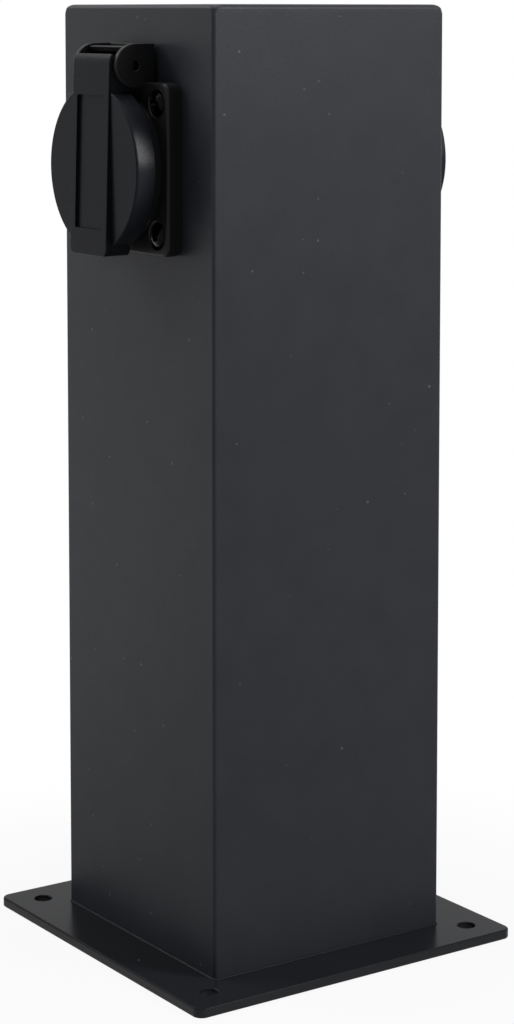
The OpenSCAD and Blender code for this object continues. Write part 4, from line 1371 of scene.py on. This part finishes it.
@dataclass(frozen=True)
class Socket:
    """One outdoor socket with its lid, on one face of the column."""

    side: Side
    half: float = COLUMN / 2
    height: float = SOCKET_UP
    flange: Flange = Flange()
    lid: Lid = Lid()
    screw: FlangeScrew = FlangeScrew()
    insert: Insert = Insert()
    spring: LidSpring = LidSpring()
    screw_turns: tuple[float, ...] = (0.35, 1.1, 0.8, 0.2)  # Angles at which the screws came to rest
    gasket_in: float = 0.5  # How much narrower the gasket is than the flange
    gasket_gap: float = 0.25  # Clearance of the gasket from the body
    gasket_ease: float = 0.35  # Rounding of the gasket's edge
    pin_r: float = 1.5  # Radius of the hinge pin
    pin_ease: float = 0.25  # Rounding of the pin's ends
    pin_in: float = 0.12  # How far the pin's ends lie inside the ears' faces
    seal_slip: float = 0.1  # Clearance of the lid's seal
    seal_ease: float = 0.3  # Chamfer of the seal's edges
    groove: Point = (0.7, 0.35)  # Half the width and the depth of the seal's groove

    @property
    def place(self) -> Matrix:
        """The matrix from the socket's millimetres to the post's metres."""
        out = Matrix.Translation((0.0, -self.half, self.height)) @ Matrix.Rotation(QUARTER, 4, "X")
        return TO_METRES @ self.side.turn @ out

    def named(self, piece: str) -> str:
        """A piece's or a node's name on this side."""
        return f"{self.side.value}_{piece}"

    def gasket(self) -> Workpiece:
        """The seal behind the flange, bulging a little at its edge.

        Returns:
            The shape.
        """
        f, side = self.flange, self.flange.width - self.gasket_in
        part = Workpiece().plate((side, side), f.corner, 0.0, f.back).soften(self.gasket_ease)
        return part.combine(Cut.TAKE_AWAY, rod(f.body_r + self.gasket_gap, -OVER, f.back + OVER))

    def screws(self) -> Workpiece:
        """The four flange screws, each turned as it came to rest.

        Returns:
            The screws as one shape.
        """
        whole, reach = Workpiece(), self.flange.screw_at
        for (x, y), turn in zip(CORNERS, self.screw_turns):
            at = Matrix.Translation((x * reach, y * reach, self.flange.pocket))
            whole.take(self.screw.form().move(at @ Matrix.Rotation(turn, 4, "Z")))
        return whole

    def lid_seal(self) -> Workpiece:
        """The ring in the lid that closes on the collar, with a groove between two lips.

        Returns:
            The shape.
        """
        low, high = self.flange.rim + self.seal_slip, self.lid.ceiling
        inner, outer = self.flange.recess_r, self.lid.pocket_r - self.seal_slip
        mid, ease = (inner + outer) / 2, self.seal_ease
        wide, deep = self.groove
        profile = [(inner, high), (inner, low + ease), (inner + ease, low), (mid - wide, low)]
        profile += [(mid, low + deep), (mid + wide, low)]
        profile += [(outer - ease, low), (outer, low + ease), (outer, high)]
        return Workpiece().lathe(profile, closed=True)

    def hinge_pin(self) -> Workpiece:
        """The hinge pin, its ends rounded.

        Returns:
            The shape.
        """
        end, r, ease = self.pin_in - self.flange.ear_out, self.pin_r, self.pin_ease
        half = [(0, end), (r - ease, end), (r - 0.3 * ease, end + 0.3 * ease), (r, end + ease)]
        return spindle(half, 40).move(self.flange.hinge.along)

    def lid_spring(self) -> Piece:
        """The lid spring on its pin.

        Returns:
            The piece.
        """
        path = self.spring.path()
        place = self.place @ self.flange.hinge.at
        return wire_piece(self.named("coil_spring"), path, [self.spring.wire] * len(path), place)

    def twist(self, spring: Piece) -> None:
        """Bakes the spring's place into its mesh, and hides the CAD spring that it stands for.

        Args:
            spring: The spring.
        """
        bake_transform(spring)
        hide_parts(self.named("lid_spring"))
        LOG.info("%s twists between %s and %s", spring.name, Body.POST.value, self.side.flap.value)

    def dress(self, finishes: Finishes) -> None:
        """Builds the socket's pieces, and dresses what stays as it is.

        Args:
            finishes: The post's finishes.
        """
        post, flap = Body.POST, self.side.flap
        for name, shape, body, node, finish in (
            ("socket_shell", self.flange.form, post, "housing", "shell_plastic"),
            ("flange_gasket", self.gasket, post, "gasket", "seal_rubber"),
            ("pan_screws", self.screws, post, "flange_screws", "screw_steel"),
            ("plug_face", self.insert.form, post, "insert", "insert_plastic"),
            ("pivot_pin", self.hinge_pin, post, "hinge_pin", "black_steel"),
            ("flap_cover", self.lid.form, flap, "lid", "lid_plastic"),
            ("lid_ring", self.lid_seal, flap, "lid_seal", "seal_rubber"),
        ):
            piece = shape().finish(self.named(name), self.place)
            set_out(piece, body, [self.named(node)], finishes, finish)
        spring = self.lid_spring()
        finishes.put_on(spring, "black_steel")
        self.twist(spring)
        for pole in ("live", "neutral", "earth"):
            finishes.coat("contact_brass", self.named(f"{pole}_contact"))
        finishes.coat("insert_plastic", self.named("insert_cover"))
        finishes.coat("zinc_steel", self.named("terminal_screws"))


@dataclass(frozen=True)
class Wiring:
    """The terminals in the foot of the column and the wires to them."""

    jacket: float = 1.45  # Radius of a wire
    core: float = 0.7  # Radius of its bare end
    core_long: float = 6.0  # Length of its bare end
    shoulder: float = 0.02  # Length over which the jacket ends
    lead: float = 1.5  # Straight length at each end
    steps: int = 40  # Steps of a wire's curve
    drop: float = 60.0  # Pull of a socket's wire at both ends
    loop: float = 14.0  # Pull of the post's earth wire
    socket_z: float = SOCKET_UP
    wire_y: float = 10.75  # Distance of a socket's wire holes from the post's axis
    below: float = 4.1  # Height of a pin terminal's underside below the socket's centre
    earth_drop: float = 9.0  # Distance of the earth terminal below the socket's centre
    pin_at: float = PIN_AT
    pole: float = 11.0  # Distance from pole to pole of the block
    clamp_y: float = 25.25  # Place of the block's clamps along Y
    block_top: float = 68.1  # Height just over the block
    block_low: float = 49.9  # Height just under the block
    beside: float = 1.55  # Half the distance between two wires in one clamp
    lug: Spot = (18.65, 31.75, 4.95)  # The point where the earth lug takes its wire

    def wire(self, name: str, start: Vector, out: Vector, end: Vector, away: Vector) -> Piece:
        """A wire between two terminals.

        Args:
            name: Name of the piece.
            start: Where it leaves the first terminal.
            out: Its pull there.
            end: Where it leaves the second terminal.
            away: Its pull there.

        Returns:
            The wire, with a bare core at each end.
        """
        way, back = out.normalized(), away.normalized()
        leave, arrive = start + self.lead * way, end + self.lead * back
        bends = (leave, leave + out, arrive + away, arrive)
        run = [start]
        for i in range(self.steps + 1):
            t = i / self.steps
            u = 1 - t
            shares = (u * u * u, 3 * u * u * t, 3 * u * t * t, t * t * t)
            run.append(sum((s * p for s, p in zip(shares, bends)), Vector()))
        run.append(end)
        first = [start - self.core_long * way, start - self.shoulder * way]
        last = [end - self.shoulder * back, end - self.core_long * back]
        bare = [self.core, self.core]
        return wire_piece(name, first + run + last, bare + [self.jacket] * len(run) + bare, TO_METRES)

    def socket_wires(self, side: Side, finishes: Finishes) -> None:
        """The three wires of one socket.

        Args:
            side: The socket's side.
            finishes: The post's finishes.
        """
        s = side.sign
        y = -s * self.wire_y
        pull = Vector((0, 0, self.drop))
        for kind, x, low, pole, finish in (
            ("live", -self.pin_at, 0.0, -1, "brown_jacket"),
            ("neutral", self.pin_at, 0.0, 1, "blue_jacket"),
            ("earth", 0.0, self.earth_drop, 0, "striped_jacket"),
        ):
            start = Vector((x, y, self.socket_z - low - self.below))
            end = Vector((pole * self.pole - s * self.beside, self.clamp_y, self.block_top))
            piece = self.wire(f"{side.value}_{kind}_lead", start, -pull, end, pull)
            set_out(piece, Body.POST, [f"{side.value}_{kind}_wire"], finishes, finish)

    def dress(self, finishes: Finishes) -> None:
        """Builds the wires and dresses the terminals.

        Args:
            finishes: The post's finishes.
        """
        for side in Side:
            self.socket_wires(side, finishes)
        pull = Vector((0, 0, -2 * self.loop))
        end = Vector((0, self.clamp_y, self.block_low))
        piece = self.wire("post_earth_lead", Vector(self.lug), Vector((-self.loop, 0, 0)), end, pull)
        set_out(piece, Body.POST, ["post_earth_wire"], finishes, "striped_jacket")
        finishes.coat("zinc_steel", "terminal_bracket", "block_clamp_screws", "block_fixing_screws")
        finishes.coat("zinc_steel", "earth_stud", "earth_lug", "earth_washer", "earth_nut")
        finishes.coat("block_plastic", "terminal_block")
        finishes.coat("contact_brass", "block_clamps")


# The studio


def aim_along(made: Piece, way: Vector) -> None:
    """Turns a lamp or a camera to look along a direction, and puts it in the scene.

    Args:
        made: The lamp or camera.
        way: The direction.
    """
    made.rotation_mode = "QUATERNION"
    made.rotation_quaternion = way.to_track_quat("-Z", "Y")
    bpy.context.scene.collection.objects.link(made)


@dataclass(frozen=True)
class Softbox:
    """A soft lamp that looks at a point."""

    name: str
    at: Spot  # Its place in metres
    aim: Spot  # The point that it looks at
    size: Point  # Its width and height in metres
    power: float  # Its power in watts

    def hang(self) -> None:
        """Hangs the lamp."""
        lamp = bpy.data.lights.new(self.name, "AREA")
        lamp.shape = "RECTANGLE"
        lamp.size, lamp.size_y = self.size
        lamp.energy = self.power
        made = bpy.data.objects.new(self.name, lamp)
        made.location = self.at
        aim_along(made, Vector(self.aim) - Vector(self.at))


@dataclass(frozen=True)
class Studio:
    """A pale floor, soft lamps, a pale surround and the camera. Its lengths are in metres."""

    eye: Spot = (0.644156, -0.442159, 0.282993)  # The camera's place
    azimuth: float = 55.407  # Direction of the camera from the post, in degrees from -Y towards +X
    pitch: float = 5.433  # How far the camera looks down, in degrees
    lens: float = 90.51  # Focal length in millimetres
    sensor: float = 36.0  # Size of the sensor along the picture's long side, in millimetres
    shift: float = -0.25  # The camera's shift along the picture's height
    clip: Point = (0.01, 50.0)  # Distances between which the camera sees
    fill: float = 0.03  # Strength of the surround's light
    floor_size: float = 6.0  # Half the floor's width
    floor_drop: float = 0.0002  # How far the floor lies under the post
    floor_tone: float = 0.50  # Grey of the floor
    floor_rough: float = 0.9  # Roughness of the floor
    floor_specular: float = 0.1  # Specular level of the floor
    near: float = 0.085  # Radius round the post where the floor is plain paper
    far: float = 0.17  # Radius from which the floor shows the surround's white
    paper: float = 0.93  # Share of that white in the floor close to the post
    gloss_far: float = 0.50  # Radius from which gloss shows the floor as white as the surround
    gloss_paper: float = 0.35  # Share of that white that gloss shows close to the post
    lamps: tuple[Softbox, ...] = (
        Softbox("back_softbox", (0.84, 0.475, 0.66), (0.0, 0.0, 0.20), (0.22, 0.70), 7.9),
        Softbox("left_softbox", (-0.66, -0.58, 0.82), (0.0, 0.0, 0.18), (0.50, 0.50), 4.0),
        Softbox("top_softbox", (0.0, -0.10, 1.50), (0.0, 0.0, 0.10), (1.20, 1.20), 9.0),
    )

    def surround(self) -> None:
        """A world that lights the post softly, and shows white to the camera and in gloss and glass."""
        world = bpy.data.worlds.new("studio_surround")
        bpy.context.scene.world = world
        world.use_nodes = True
        sheet = Sheet(world.node_tree)
        rays = sheet.add("ShaderNodeLightPath").outputs
        seen = sheet.sum("MAXIMUM", rays["Is Camera Ray"], rays["Is Glossy Ray"])
        seen = sheet.sum("MAXIMUM", seen, rays["Is Transmission Ray"])
        strength = sheet.span(seen, UNIT, (self.fill, 1.0))
        sheet.feed(world.node_tree.nodes["Background"], Color=(1.0, 1.0, 1.0, 1.0), Strength=strength)

    def floor(self) -> None:
        """A wide pale floor that keeps the post's shadow."""
        part = Workpiece()
        bmesh.ops.create_grid(part.bm, x_segments=2, y_segments=2, size=self.floor_size)
        made = part.loose("studio_floor")
        made.location.z = -self.floor_drop
        paper = bpy.data.materials.new("floor_paper")
        paper.use_nodes = True
        sheet = Sheet(paper.node_tree)
        shader = paper.node_tree.nodes["Principled BSDF"]
        grey = (self.floor_tone, self.floor_tone, self.floor_tone, 1.0)
        sheet.feed(shader, Base_Color=grey, Roughness=self.floor_rough)
        sheet.feed(shader, Specular_IOR_Level=self.floor_specular)
        reach = sheet.add("ShaderNodeVectorMath")
        reach.operation = "LENGTH"
        sheet.put(sheet.add("ShaderNodeTexCoord").outputs["Object"], reach.inputs[0])
        rays = sheet.add("ShaderNodeLightPath").outputs
        shares = []
        for ray, far, least in (
            ("Is Camera Ray", self.far, self.paper),
            ("Is Glossy Ray", self.gloss_far, self.gloss_paper),
        ):
            white = sheet.span(reach.outputs["Value"], (self.near, far), (least, 1.0))
            shares.append(sheet.sum("MULTIPLY", white, rays[ray]))
        both = sheet.add("ShaderNodeMixShader", Fac=sheet.sum("MAXIMUM", *shares))
        sheet.put(shader.outputs["BSDF"], both.inputs[1])
        sheet.put(sheet.add("ShaderNodeEmission").outputs["Emission"], both.inputs[2])
        sheet.feed(paper.node_tree.nodes["Material Output"], Surface=both.outputs["Shader"])
        made.data.materials.append(paper)

    def camera(self) -> None:
        """The camera, at the photograph's viewing angle."""
        data = bpy.data.cameras.new("camera")
        data.sensor_width = self.sensor
        data.lens = self.lens
        data.shift_y = self.shift
        data.clip_start, data.clip_end = self.clip
        made = bpy.data.objects.new("camera", data)
        made.location = self.eye
        a, e = math.radians(self.azimuth), math.radians(self.pitch)
        aim_along(made, -Vector((math.sin(a) * math.cos(e), -math.cos(a) * math.cos(e), math.sin(e))))
        bpy.context.scene.camera = made

    def set_up(self) -> None:
        """Sets the studio up."""
        bpy.context.scene.view_settings.view_transform = "Standard"
        self.camera()
        self.surround()
        self.floor()
        for lamp in self.lamps:
            lamp.hang()


def main() -> None:
    """Builds the studio and the post, piece by piece."""
    logging.basicConfig(level=logging.INFO, format="%(name)s: %(message)s")
    Studio().set_up()
    finishes = Finishes()
    Shell().dress(finishes)
    Foot().dress(finishes)
    for side in Side:
        Socket(side).dress(finishes)
    Wiring().dress(finishes)


if __name__ == "__main__":
    main()
